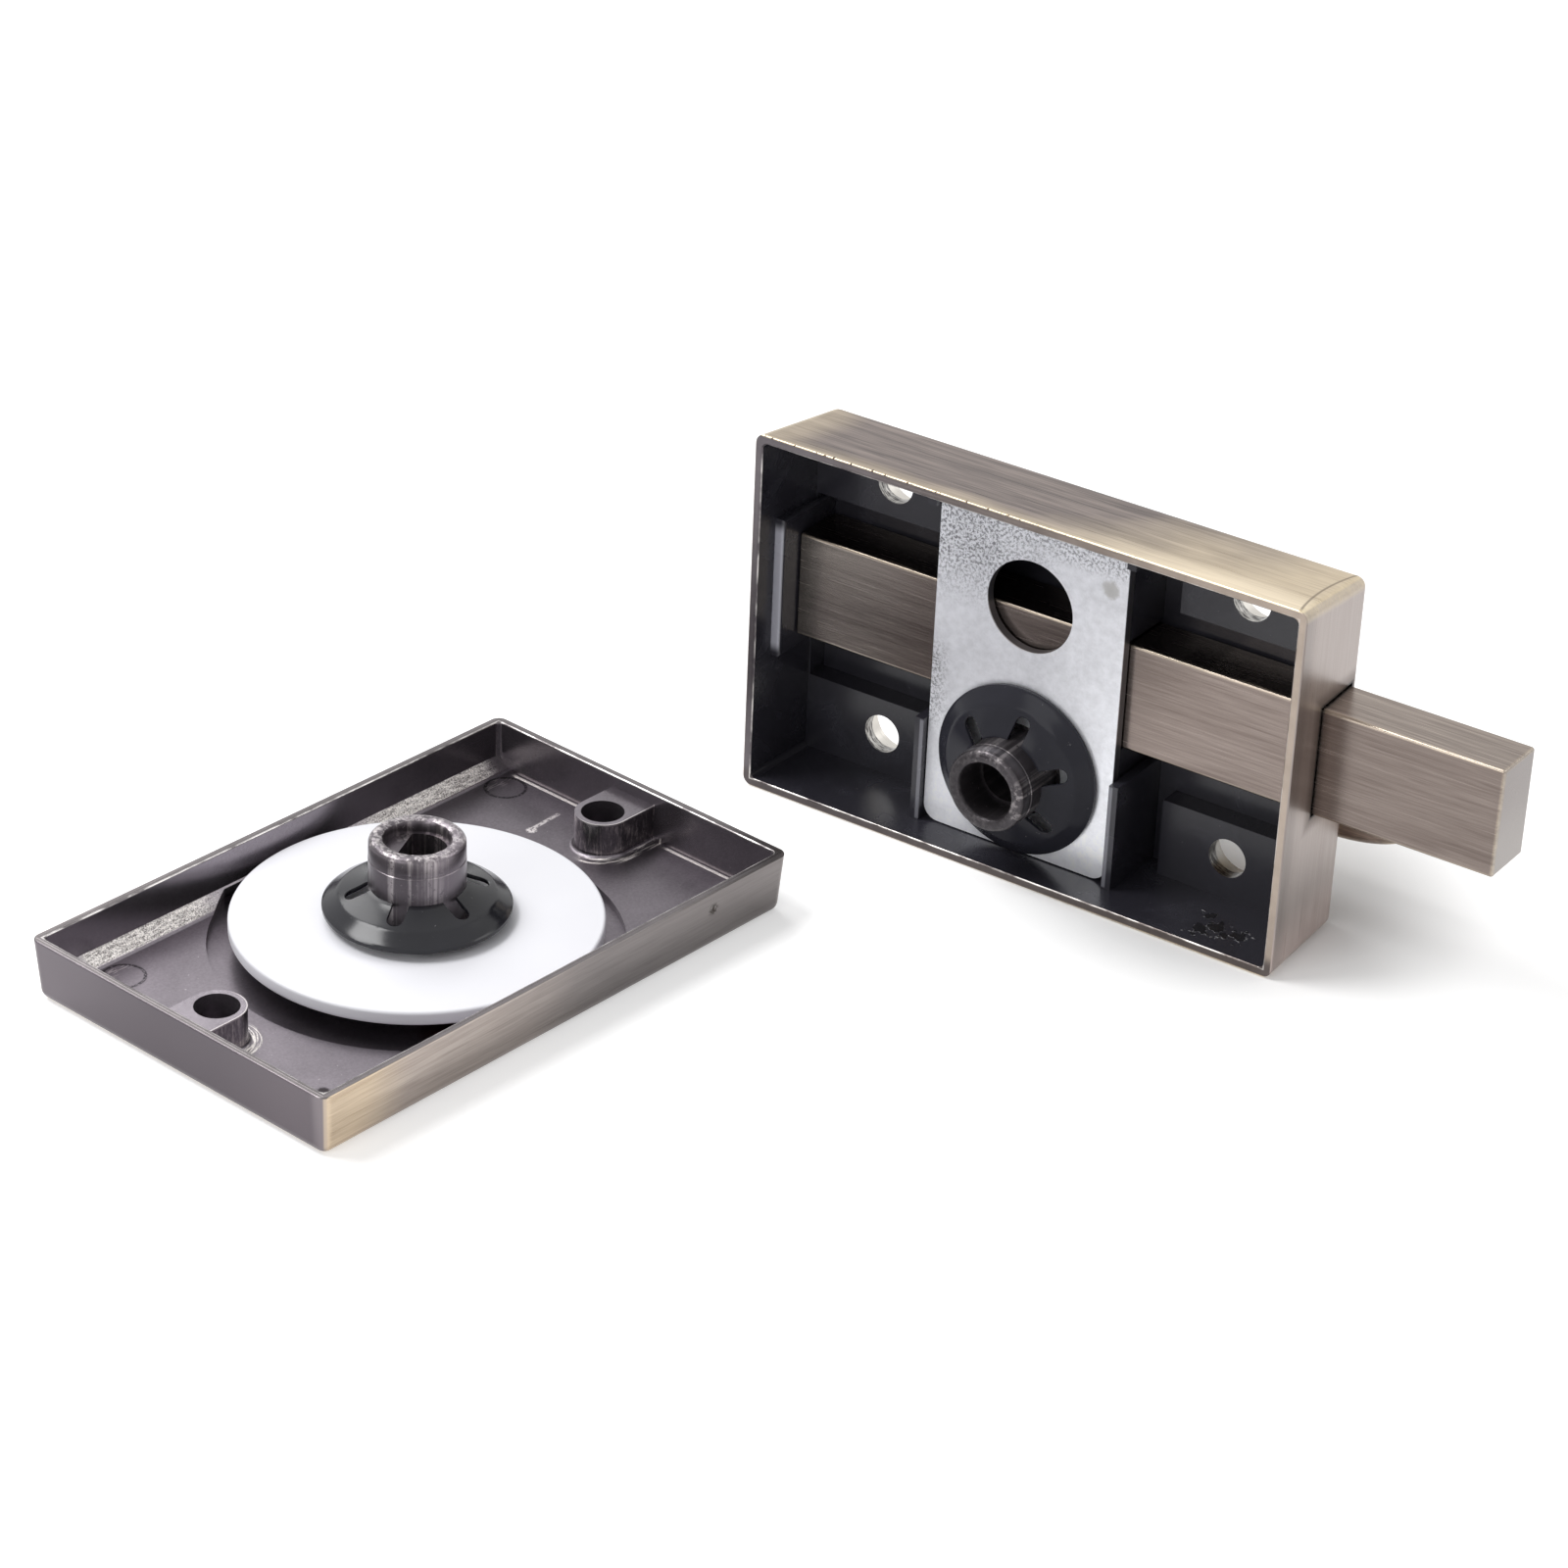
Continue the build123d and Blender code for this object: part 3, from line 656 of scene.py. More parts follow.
def case_ends(sheet, at):
    """Outside of the end walls: finer upright streaks, greyer low down, and painted shade near the
    rim.
    """
    low_tone = sheet.blend(linear(186, 170, 164), linear(202, 189, 184), at.fine)
    high_tone = sheet.blend(linear(154, 143, 138), linear(171, 162, 158), at.fine)
    ends = sheet.blend(low_tone, high_tone, sheet.fade(at.z + at.cloud * 5, 4, 14))
    # Painted shade near the rim
    return sheet.shade(ends, 1.0 - sheet.fade(at.depth, 4.2, 1.4) * 0.22)


def case_slot_edge(sheet, at, outside):
    """Painted shade round the bolt's slot, which only the right end has, and black paint in the
    slot with a painted shadow line at its edge.
    """
    middle, half = middle_of("sliding_bolt"), (BOLT_HIGH - BOLT_LOW) / 2
    slot_y = abs(at.depth - middle.y + CASE_Y) - half.y
    slot_z = abs(at.z - middle.z) - half.z
    slot_gap = sheet.most(slot_y, slot_z) + at.cloud * 0.3
    slot_end = at.on_end * sheet.fade(at.x, 0, 10)
    # Painted shade on the end wall round the slot
    slot_shade = sheet.fade(slot_gap, 3.4, 0.8) * slot_end
    outside = sheet.blend(outside, linear(84, 72, 66), slot_shade * 0.7)
    # Black paint on the slot's walls, and a painted shadow line at its edge
    slot_shadow_line = sheet.fade(slot_gap, 1.05, 0.55) * slot_end
    return sheet.blend(outside, linear(40, 34, 32), slot_shadow_line)


def case_worn_edges(sheet, at, outside):
    """A corner brushed through to the brass, a crescent beside it and the top's torn edge."""
    fade, level, blend = sheet.fade, sheet.level, sheet.blend
    x, depth, on_top = at.x, at.depth, at.on_top
    corner = fade(at.side_gap + at.top_gap + at.cloud * 0.6, 2.3, 1.2)
    outside = blend(outside, linear(216, 201, 172), corner * (0.3 + at.streak * 0.3))
    bow = at.side_gap - 1.3 - depth * (CASE_DEPTH - depth) * 0.012
    crescent = fade(abs(bow), 0.30, 0.05) * on_top * fade(x, 0, 10)
    outside = blend(outside, linear(112, 96, 76), crescent * 0.75)
    tear = sheet.noise(at.place, 1.3, 3, 0.65, (1.0, 0.3, 0.3))
    gilt = fade(depth, 1.1, 0.35) * on_top * level(tear, 0.14, 0.60)
    gilt = gilt * (0.35 + fade(x, -20, 20) * 0.3)
    outside = blend(outside, linear(232, 216, 182), gilt)
    chip = fade(depth - level(tear, 0.54, 0.74) * 0.8, 0.05, -0.1)
    return blend(outside, linear(58, 48, 42), chip * on_top * fade(x, 20, -5))


def case_rim(sheet, at):
    """Bare grey casting, darker to the left, with a painted highlight along its inner edge."""
    grain = sheet.noise(at.place, 1.0, 3, 0.6, (0.25, 1.0, 0.25))
    tone = sheet.blend(linear(104, 99, 102), linear(166, 153, 142), sheet.fade(at.x, -46, 46))
    tone = sheet.blend(tone, linear(84, 78, 78), sheet.fade(at.z, 4.0, 2.0) * 0.85)
    tone = sheet.shade(tone, 0.72 + grain * 0.5)
    inner_edge = sheet.fade(abs(at.wall_gap - WALL + 0.12), 0.14, 0.05)
    edge_highlight = inner_edge * sheet.level(grain, 0.40, 0.66)
    return sheet.blend(tone, linear(226, 222, 218), edge_highlight * 0.85)


def case_paint(sheet, at, flow):
    """Black paint with flow marks, dust and crumbs of it, and painted highlights on the pad's and
    ribs' edges and round the crumbs.
    """
    fade, blend = sheet.fade, sheet.blend
    place, x, depth, z = at.place, at.x, at.depth, at.z
    dark = blend(colours().inside, linear(62, 62, 70), fade(flow, 0.45, 0.75) * 0.5)
    dust = fade(sheet.noise(place, 1.6, 2, 0.7), 0.74, 0.79)
    dark = blend(dark, linear(130, 128, 132), dust * 0.2)

    # Painted highlights on the edges of the stop pad and of the ribs beside the plate
    pad_highlight = fade(abs(depth - PAD_DEPTH), 0.24, 0.08) * fade(abs(z - PAD_MIDDLE), 11.0, 9.0)
    pad_highlight = pad_highlight * fade(at.side_gap, 2.9, 2.6) * fade(x, 0, -10)
    rib_highlight = fade(sheet.least(abs(x - RIB_RIGHT), abs(x - RIB_LEFT)), 0.45, 0.20)
    rib_highlight = rib_highlight * fade(abs(depth - RIB_DEPTH), 0.35, 0.15)
    rib_highlight = rib_highlight * fade(abs(z - RIB_MIDDLE), 8.6, 8.2)
    dark = blend(dark, linear(186, 186, 196), sheet.most(pad_highlight, rib_highlight * 0.35))

    # Crumbs on the lower wall, with painted highlights at their torn edges
    gaps = [sheet.away(place, (*spot, WALL)) - reach for *spot, reach in PAINT_CRUMBS]
    crumb_gap = sheet.least(*gaps) + sheet.noise(place, 0.8, 2, 0.6) * 7 - 3.5
    crumb = at.inside * fade(crumb_gap, 0.25, -0.15)
    crumb_highlight = at.inside * fade(abs(crumb_gap - 0.05), 0.26, 0.10)
    crumb_highlight = crumb_highlight * fade(sheet.noise(place, 1.1, 2, 0.6), 0.47, 0.53)
    dark = blend(dark, linear(16, 15, 17), crumb * 0.8)
    return blend(dark, linear(176, 174, 178), crumb_highlight * 0.6), crumb


def case_screw_holes(sheet, at):
    """A rough grey wall, a freshly cut recess behind it, and painted shade in the lower right one.
    """
    hole_x = abs(at.x) - SCREW_X
    hole_z = abs(at.z - SCREW_MIDDLE) - SCREW_Z
    off_axis = hole_x * hole_x + hole_z * hole_z
    cut = sheet.fade(off_axis, 24.0, 22.8) * sheet.fade(at.depth, 14.02, 14.12)
    behind = sheet.fade(off_axis, 10.2, 10.8)
    thread = sheet.level(sheet.noise(at.place, 1.0, 2, 0.6, (0.8, 3.2, 0.8)), 0.4, 0.6)
    tone = sheet.blend(linear(84, 82, 82), linear(186, 184, 180), thread)
    tone = sheet.blend(tone, linear(214, 210, 203), behind)
    # Painted shade in the lower right hole
    shaded_hole = sheet.fade(at.x, 0, 10) * sheet.fade(at.z, 30, 20)
    return sheet.shade(tone, 1 - shaded_hole * 0.62), cut


def case_finish():
    """The bolt half's casting: brushed outside, bare rim and dark glossy inside."""
    sheet = Finish("bolt_case_finish")
    at = case_zones(sheet)
    outside = sheet.blend(case_walls(sheet, at), case_ends(sheet, at), at.on_end)
    outside = case_slot_edge(sheet, at, outside)
    outside = case_worn_edges(sheet, at, outside)
    flow = sheet.noise(at.place, 0.12, 3, 0.55, None, 0.6)
    paint, crumb = case_paint(sheet, at, flow)
    bare, cut = case_screw_holes(sheet, at)

    colour = sheet.blend(outside, paint, at.inside)
    on_rim = at.rim * sheet.fade(at.wall_gap, 0.12, 0.26)
    colour = sheet.blend(colour, case_rim(sheet, at), on_rim)
    colour = sheet.blend(colour, bare, cut)
    painted = at.inside * (1 - at.rim) * (1 - cut)
    streak = at.streak * (1 - at.on_end) + at.fine * at.on_end
    rough = (0.27 + streak * 0.10) * (1 - painted) + painted * (0.20 + flow * 0.12)
    height = streak * (1 - at.inside) * 0.35 + at.inside * flow + crumb * 8
    return sheet.surface(
        colour,
        Metallic=1 - painted,
        Roughness=rough,
        Normal=sheet.relief(height, 0.03),
    )


def tray_zones(sheet):
    """Where a point of the indicator half's casting lies: gaps and heights in millimetres."""
    place = sheet.own_place(TRAY, TRAY_TURN)
    x, y, z = sheet.split(place)
    lean = TRAY_LEAN / TRAY_HEIGHT
    gap_x = (TRAY_HALF_X - TRAY_LEAN + z * lean) - abs(x)
    gap_y = (TRAY_HALF_Y - TRAY_LEAN + z * lean) - abs(y)
    wall_gap = sheet.least(gap_x, gap_y)
    beyond_post = sheet.least(abs(x) - POST_X, 0.0)
    return SimpleNamespace(
        place=place,
        x=x,
        y=y,
        z=z,
        gap_x=gap_x,
        gap_y=gap_y,
        wall_gap=wall_gap,
        inside=sheet.fade(sheet.least(wall_gap, z), 0.62, 0.8),
        rim=sheet.fade(z, TRAY_HEIGHT - 0.24, TRAY_HEIGHT - 0.12),
        on_end=sheet.fade(gap_x, 1.0, 0.6),
        off_post=beyond_post * beyond_post + y * y,
        cloud=sheet.noise(place, 0.05, 3, 0.5),
        grain=sheet.noise(place, 2.6, 3, 0.65),
        streak=sheet.brushed(place, "x", 4.0),
    )


def tray_walls(sheet, at):
    """Outside of the long walls, golden near one corner and grey towards the other."""
    fade, blend = sheet.fade, sheet.blend
    x, z, cloud, streak = at.x, at.z, at.cloud, at.streak
    golden = fade(x + cloud * 30, 30, -26)
    dark = blend(linear(109, 104, 103), linear(146, 135, 128), golden)
    pale = blend(linear(124, 119, 118), linear(180, 169, 161), golden)
    walls = blend(dark, pale, streak)
    walls = sheet.shade(walls, 0.88 + fade(z, 1.5, 8.5) * 0.26)
    gold = blend(linear(182, 164, 142), linear(208, 191, 168), streak)
    walls = blend(walls, gold, fade(x + cloud * 9 - z * 0.3, -27, -38))
    mark = fade(sheet.away(at.place, WALL_MARK), 1.3, 0.4)
    return blend(walls, linear(60, 54, 50), mark * sheet.level(at.grain, 0.42, 0.52))


def tray_outside(sheet, at):
    """The long walls, the end walls in their smooth plating, and the worn corner."""
    fade, blend = sheet.fade, sheet.blend
    y, cloud = at.y, at.cloud
    ends = blend(linear(94, 88, 93), linear(110, 104, 109), fade(y + cloud * 16, 12, 34))
    ends = blend(ends, linear(102, 95, 100), fade(y + cloud * 10, 0, -20))
    ends = blend(ends, linear(140, 133, 136), fade(y, -26.5, -28.5) * 0.6)
    outside = blend(tray_walls(sheet, at), ends, at.on_end)
    corner = fade(at.gap_x + at.gap_y + cloud * 0.5, 1.9, 1.0)
    gold = blend(linear(150, 142, 138), linear(214, 195, 171), fade(at.x, 20, -30))
    corner = corner * fade(y, 10, -20) * fade(at.gap_x - at.gap_y, -0.3, 0.2)
    return blend(outside, gold, corner * 0.6)


def tray_rim(sheet, at):
    """Bare grey casting with a thin painted highlight along its inner edge."""
    grain = sheet.noise(at.place, 1.0, 3, 0.6, (0.25, 0.25, 1.0))
    tone = sheet.shade(linear(112, 107, 108), 0.72 + grain * 0.5)
    inner_edge = sheet.fade(abs(at.wall_gap - TRAY_WALL + 0.12), 0.16, 0.06)
    edge_highlight = inner_edge * sheet.level(grain, 0.36, 0.60)
    return sheet.blend(tone, linear(228, 224, 222), edge_highlight * 0.85)


def tray_plating(sheet, at, flow, walled):
    """Bare plating with marks of the mould and its pins, and painted light: lighter towards the
    near end and on the walls, but not at the far end.
    """
    fade, level, blend = sheet.fade, sheet.level, sheet.blend
    place, x, y, grain = at.place, at.x, at.y, at.grain
    # Painted light towards the near end, and on the walls except at the far end
    lit = fade(x + y * 0.3 + at.cloud * 20, 34, -30)
    inner = sheet.shade(colours().gunmetal, 0.30 + flow * 0.4 + lit * 0.14 + grain * 0.54)
    inner = sheet.shade(inner, 1 + walled * fade(x, 44, 34) * 0.52)
    notch = fade(sheet.away(place, FLOOR_NOTCH) + grain * 0.6, 1.4, 0.9)
    inner = blend(inner, linear(50, 45, 48), notch)
    ripples = level(sheet.noise(place, 1.0, 1, 0.4, (0.6, 3.0, 1.0)), 0.5, 0.62)
    for pin_x, pin_y in MOULD_PINS:
        reach = sheet.away(place, (pin_x, pin_y, TRAY_FLOOR))
        groove = fade(abs(reach - PIN_RADIUS + grain * 0.4), 0.36, 0.12)
        groove = groove * level(grain, 0.36, 0.5)
        inner = blend(inner, linear(28, 25, 29), groove * 0.9)
        ripple = ripples * fade(reach, 3.2, 2.6) * fade(y, pin_y, pin_y + 2)
        inner = blend(inner, linear(190, 184, 184), ripple * 0.7)

    # A short flash line beside the far post, with a drop at its end, and pale flecks
    along = x - FLASH_X
    flash = fade(abs(y - FLASH_Y - along * 0.05), 0.5, 0.2) * fade(abs(along), 3.6, 2.8)
    flash = sheet.most(flash, fade(sheet.away(place, FLASH_DROP), 1.0, 0.6))
    inner = blend(inner, linear(222, 216, 216), flash * level(grain, 0.38, 0.50) * 0.9)
    fleck = fade(sheet.noise(place, 1.5, 3, 0.75), 0.68, 0.74)
    return blend(inner, linear(188, 182, 184), fleck * 0.5)


def tray_posts(sheet, at, inner):
    """The posts' bright upper edges, and their darker sides with upright scratches."""
    fade, blend = sheet.fade, sheet.blend
    y, z, off_post = at.y, at.z, at.off_post
    edge = fade(abs(off_post - 17.2), 1.5, 0.6) * fade(abs(z - 7.8), 0.32, 0.12)
    inner = blend(inner, linear(206, 200, 200), edge * fade(y, 2.0, -1.0) * 0.8)
    side = fade(off_post, 19.5, 18.5) * fade(off_post, 15.0, 16.5)
    side = side * fade(z, 2.4, 3.0) * fade(z, 7.6, 7.3)
    inner = sheet.shade(inner, 1 - side * 0.30)
    scratch = sheet.level(sheet.noise(at.place, 1.0, 3, 0.7, (3.0, 3.0, 0.5)), 0.50, 0.62)
    return blend(inner, linear(196, 188, 188), side * scratch * 0.6)


def tray_sparkle(sheet, at):
    """Raw sparkle on the sloped band, partly a painted highlight, and painted highlights along the
    far wall's foot and at the posts' feet.
    """
    fade, level, blend = sheet.fade, sheet.level, sheet.blend
    place, x, y, z, off_post = at.place, at.x, at.y, at.z, at.off_post
    band = fade(z, 2.45, 2.6) * fade(z, 4.2, 4.0) * fade(y, 20, 24)
    patchy = fade(abs(x - 4.0 + at.cloud * 8), 12, 20)
    patchy = patchy * fade(x, 44, 40) * fade(x, -39.6, -38.0)
    # Painted highlights along the far wall's foot and round the posts' feet
    foot = fade(abs(at.gap_x - 1.85), 0.36, 0.20) * fade(z, 2.9, 2.6) * fade(x, 30, 40)
    foot = foot * fade(abs(y), 24.5, 23.5) * fade(abs(y), 6.6, 8.0)
    swirl = sheet.node("ShaderNodeCombineXYZ", None, {0: off_post * 0.35, 1: x * 0.3, 2: y * 0.3})
    swirl = level(sheet.noise(swirl, 1.0, 2, 0.6), 0.44, 0.56)
    post_foot = fade(off_post, 19.0, 21.0) * fade(off_post, 40.0, 34.0) * swirl
    post_foot = post_foot * fade(z, 3.3, 2.7) * fade(y, 1.0, -2.0)
    feet = sheet.most(foot, post_foot)
    raw_and_highlights = sheet.most(band * (0.12 + patchy * 0.88), feet)

    dull = sheet.noise(place, 1.0, 2, 0.6, (0.5, 3.0, 3.0))
    glitter = sheet.noise(place, 4.6, 3, 0.8) - level(dull, 0.60, 0.42) * 0.10
    tone = blend(linear(84, 78, 76), linear(255, 250, 246), level(glitter, 0.31, 0.57))
    return blend(tone, linear(246, 240, 236), feet * 0.7), raw_and_highlights, glitter


def tray_finish():
    """The indicator half's casting: brushed long walls, bare plating elsewhere."""
    sheet = Finish("indicator_case_finish")
    at = tray_zones(sheet)
    flow = sheet.noise(at.place, 0.08, 3, 0.55, None, 0.8)
    walled = sheet.fade(at.z, 2.6, 3.2)
    inner = tray_posts(sheet, at, tray_plating(sheet, at, flow, walled))
    sparkle, raw_and_highlights, glitter = tray_sparkle(sheet, at)
    inner = sheet.blend(inner, sparkle, raw_and_highlights * 0.9)

    colour = sheet.blend(tray_outside(sheet, at), inner, at.inside)
    on_rim = at.rim * sheet.fade(at.wall_gap, 0.12, 0.26)
    colour = sheet.blend(colour, tray_rim(sheet, at), on_rim)
    on_floor = sheet.fade(at.z, 2.5, 2.25)
    rough_in = 0.18 + flow * 0.10 + on_floor * 0.12 + raw_and_highlights * 0.18
    rough_out = (0.27 + at.streak * 0.10) * (1 - at.on_end) + at.on_end * 0.32
    outer_height = at.streak * (1 - at.inside) * (1 - at.on_end) * 0.35
    height = outer_height + at.inside * (flow + raw_and_highlights * glitter * 2)
    return sheet.surface(
        colour,
        Metallic=1 - at.inside * walled * 0.12,
        Roughness=rough_out * (1 - at.inside) + rough_in * at.inside,
        Normal=sheet.relief(height, 0.03),
    )


def zinc_finish():
    """Galvanised sheet: pale and cloudy, with dark specks where the zinc is thin, and painted
    light low down.
    """
    sheet = Finish("retaining_plate_finish")
    fade, level, blend = sheet.fade, sheet.level, sheet.blend
    low, high = box_of("retaining_plate")
    place = sheet.own_place(low)
    x, y, z = sheet.split(place)
    tall = high.z - low.z
    cloud = sheet.noise(place, 0.10, 3, 0.6)
    mottle = sheet.noise(place, 0.7, 3, 0.7)
    grain = sheet.noise(place, 2.0, 3, 0.75)
    tone = colours()
    lightness = 0.98 + level(cloud, 0.35, 0.65) * 0.10
    lightness = lightness + level(mottle, 0.35, 0.65) * 0.16
    # Painted light low down on the plate
    bright = fade(z + cloud * 8, 20, 8)
    colour = sheet.shade(tone.zinc, lightness + bright * 0.14)
    thin = sheet.most(
        fade(x * 0.9 + cloud * 12, 28, 12) * fade(z, tall - 20, tall - 7) * 0.95,
        fade(z + cloud * 5, tall - 4.0, tall - 0.8) * 0.8,
        fade(x + cloud * 5, 6.5, 2.5) * fade(abs(z - 23), 9, 3) * 0.95,
    )
    speck = level(grain, 0.47, 0.58)
    colour = blend(colour, linear(96, 95, 101), thin * speck * 0.9)
    stain = fade(sheet.away(place, PLATE_STAIN) + mottle * 1.2, 2.4, 1.6)
    colour = blend(colour, linear(150, 146, 134), stain * 0.5)
    cut_edge = fade(y, 0.12, 0.3)
    colour = blend(colour, linear(92, 91, 94), cut_edge)
    chalky = fade(x + cloud * 6, 16, 7) * fade(z + cloud * 6, 24, 15)
    return sheet.surface(
        colour,
        Metallic=0.6 - chalky * 0.55,
        Roughness=0.28 + cloud * 0.10,
        Normal=sheet.relief(mottle * 0.6 + grain * 0.4, 0.02),
    )


def dark_steel_finish(name, origin, run, face, metallic, raggedness_and_light):
    """Dark steel of a shaft, scraped bright where its washer was driven on over the face, with
    painted light on its right side.
    """
    sheet = Finish(name)
    fade, level, blend = sheet.fade, sheet.level, sheet.blend
    place = sheet.own_place(origin)
    x, y, z = sheet.split(place)
    along = tuple(0.03 if axis == run else 1.1 for axis in "xyz")
    scrape = sheet.noise(place, 1.0, 3, 0.6, along)
    band = sheet.noise(place, 0.30, 1, 0.5, along)
    grain = sheet.noise(place, 3.0, 3, 0.7)
    torn = sheet.noise(place, 1.3, 3, 0.75)
    tone = colours()
    # Painted light: the right side is lighter, more so on a more ragged shaft
    right = fade(x * 0.83 + (z if run == "y" else y) * 0.55, -1, 4.5)
    lift = 0.10 + scrape * 0.3 + grain * 0.3 + raggedness_and_light * 0.55
    lift = lift + (0.5 + right) * (0.14 + raggedness_and_light * 1.5)
    colour = sheet.shade(tone.shaft_grey, lift)
    beyond = z - face if run == "z" else face - y
    driven = fade(beyond, -13, -9)
    bright = level(scrape, 0.46, 0.60) * level(band, 0.44, 0.56)
    bright = bright * fade(torn, 0.36, 0.46) * driven
    bright = bright * (0.03 + right * 0.24 + raggedness_and_light * 0.58)
    colour = blend(colour, linear(224, 216, 216), bright)
    ring = fade(beyond, -0.40, -0.12) * level(torn, 0.48, 0.62)
    colour = blend(colour, linear(224, 218, 218), ring * raggedness_and_light * 0.75)
    colour = blend(colour, linear(200, 192, 194), fade(torn, 0.66, 0.72) * driven * 0.4)
    return sheet.surface(
        colour,
        Metallic=metallic,
        Roughness=0.24 + grain * 0.14,
        Normal=sheet.relief(grain * 0.4 + ring, 0.03),
    )


def spring_black_finish(name, origin, gloss):
    """Oiled black spring steel with a few pale scuffs and specks."""
    sheet = Finish(name)
    place = sheet.own_place(origin)
    grain = sheet.noise(place, 2.4, 3, 0.65)
    cloud = sheet.noise(place, 0.16, 2, 0.5)
    scuff = sheet.fade(sheet.noise(place, 0.8, 3, 0.8), 0.69, 0.76)
    tone = colours()
    colour = sheet.shade(tone.spring_black, 1.5 - gloss * 2.4 + cloud * 0.6)
    colour = sheet.blend(colour, linear(168, 166, 168), scuff * 0.4)
    return sheet.surface(
        colour,
        Roughness=0.12 + cloud * 0.05 + grain * 0.05,
        Specular_IOR_Level=gloss,
        Normal=sheet.relief(grain * 0.2 + cloud, 0.02),
    )


def plastic_finish(name, colour, origin, rough=0.4):
    """Moulded plastic or print with a faint unevenness."""
    sheet = Finish(name)
    place = sheet.own_place(origin)
    cloud = sheet.noise(place, 0.08, 2, 0.5)
    grain = sheet.noise(place, 2.5, 2, 0.6)
    return sheet.surface(
        sheet.shade(colour, 0.97 + cloud * 0.05),
        Roughness=rough + grain * 0.06,
        Normal=sheet.relief(grain, 0.004),
    )


def lens_finish():
    """Clear acrylic."""
    sheet = Finish("window_lens_finish")
    haze = sheet.noise(sheet.own_place(TRAY, TRAY_TURN), 0.4, 3, 0.6)
    return sheet.surface(
        (0.94, 0.96, 0.96),
        Roughness=0.03 + haze * 0.05,
        Alpha=0.10 + haze * 0.05,
        IOR=1.49,
    )


# Pieces


def washer_mesh(axes, grip, turn):
    """Push-on washer: a cone with six tines, standing on its rim."""
    size = sizes()
    thickness = size.washer_thickness / MM
    crease = size.washer_crease / MM
    half_slot = size.slot_width / MM / 2
    reach = size.slot_reach / MM
    outer, rim_rise, crease_rise, top_rise = 13.6, 0.8, 2.35, 4.2
    slots, side_steps, end_steps, tine_steps, steps_out = 6, 6, 8, 18, 20
    edge_drop = 0.10
    mesh_data = bmesh.new()

    def rise(radius):
        """Height of the upper face."""
        if radius >= crease:
            share = (outer - radius) / (outer - crease)
            return rim_rise + (crease_rise - rim_rise) * share**1.1
        share = (crease - radius) / (crease - grip)
        return crease_rise + (top_rise - crease_rise) * (share * 0.85 + 0.15 * share**3)

    def slot_edge(angle):
        """Radius at which the sheet starts, at an angle from the middle of a slot."""
        s, c = abs(sin(angle)), cos(angle)
        centre = reach - half_slot
        round_end = centre * c + sqrt(max(0.0, half_slot**2 - (centre * s) ** 2))
        side = half_slot / s if s > 1e-6 else 1e9
        return max(grip, min(side if side * c < centre else round_end, reach))

    # Angles and inner radii: even along the tines, closer along the slots' outlines
    opening = asin(half_slot / grip)
    tip = asin(half_slot / (reach - half_slot))
    marks = [opening + (tip - opening) * step / side_steps for step in range(side_steps)]
    marks += [tip * cos(pi * step / end_steps / 2) for step in range(end_steps + 1)]
    marks += [-mark for mark in reversed(marks[:-1])]
    free = 2 * pi / slots - 2 * opening
    along = [opening + free * step / tine_steps for step in range(1, tine_steps)]
    starts = []
    for slot in range(slots):
        middle = turn + 2 * pi * slot / slots
        starts += [(middle - mark, slot_edge(mark)) for mark in marks]
        starts += [(middle + mark, grip) for mark in along]

    def add(radius, height, angle):
        spot = Vector((radius * cos(angle), radius * sin(angle), max(0.0, height)))
        return mesh_data.verts.new(axes @ (spot * MM))

    upper, lower = [], []
    for angle, start in starts:
        over, under = [], []
        for step in range(steps_out + 1):
            radius = start + (outer - start) * step / steps_out
            drop = edge_drop if step in (0, steps_out) else 0.0
            over.append(add(radius, rise(radius) - drop, angle))
            under.append(add(radius, rise(radius) + drop - thickness, angle))
        upper.append(over)
        lower.append(under)
    for here in range(len(starts)):
        after = (here + 1) % len(starts)
        top, next_top, base, next_base = upper[here], upper[after], lower[here], lower[after]
        for step in range(steps_out):
            out = step + 1
            mesh_data.faces.new((top[step], top[out], next_top[out], next_top[step]))
            mesh_data.faces.new((base[out], base[step], next_base[step], next_base[out]))
        mesh_data.faces.new((top[0], next_top[0], next_base[0], base[0]))
        mesh_data.faces.new((next_top[-1], top[-1], base[-1], next_base[-1]))
    sew(mesh_data, 0.004)
    return mesh_data


class BOLT_OT_push_washers(bpy.types.Operator):
    """Push-on washers of both halves, with slots between their tines"""

    bl_idname = "indicator_bolt.push_washers"
    bl_label = "Push-on washers"

    def execute(self, context):
        base = box_of("bolt_push_washer")[1].y - CASE_Y
        mesh = washer_mesh(case_axes(depth=base), grip=6.58, turn=radians(18))
        finish = spring_black_finish("spring_black_case", SPINDLE, gloss=0.14)
        piece_from(mesh, "bolt_washer_formed", "lever", "bolt_push_washer", finish)

        base = box_of("disc_push_washer")[0].z
        mesh = washer_mesh(tray_axes(height=base), grip=7.03, turn=radians(26))
        finish = spring_black_finish("spring_black_tray", TRAY, gloss=0.38)
        piece_from(mesh, "disc_washer_formed", "indicator", "disc_push_washer", finish)
        return {"FINISHED"}


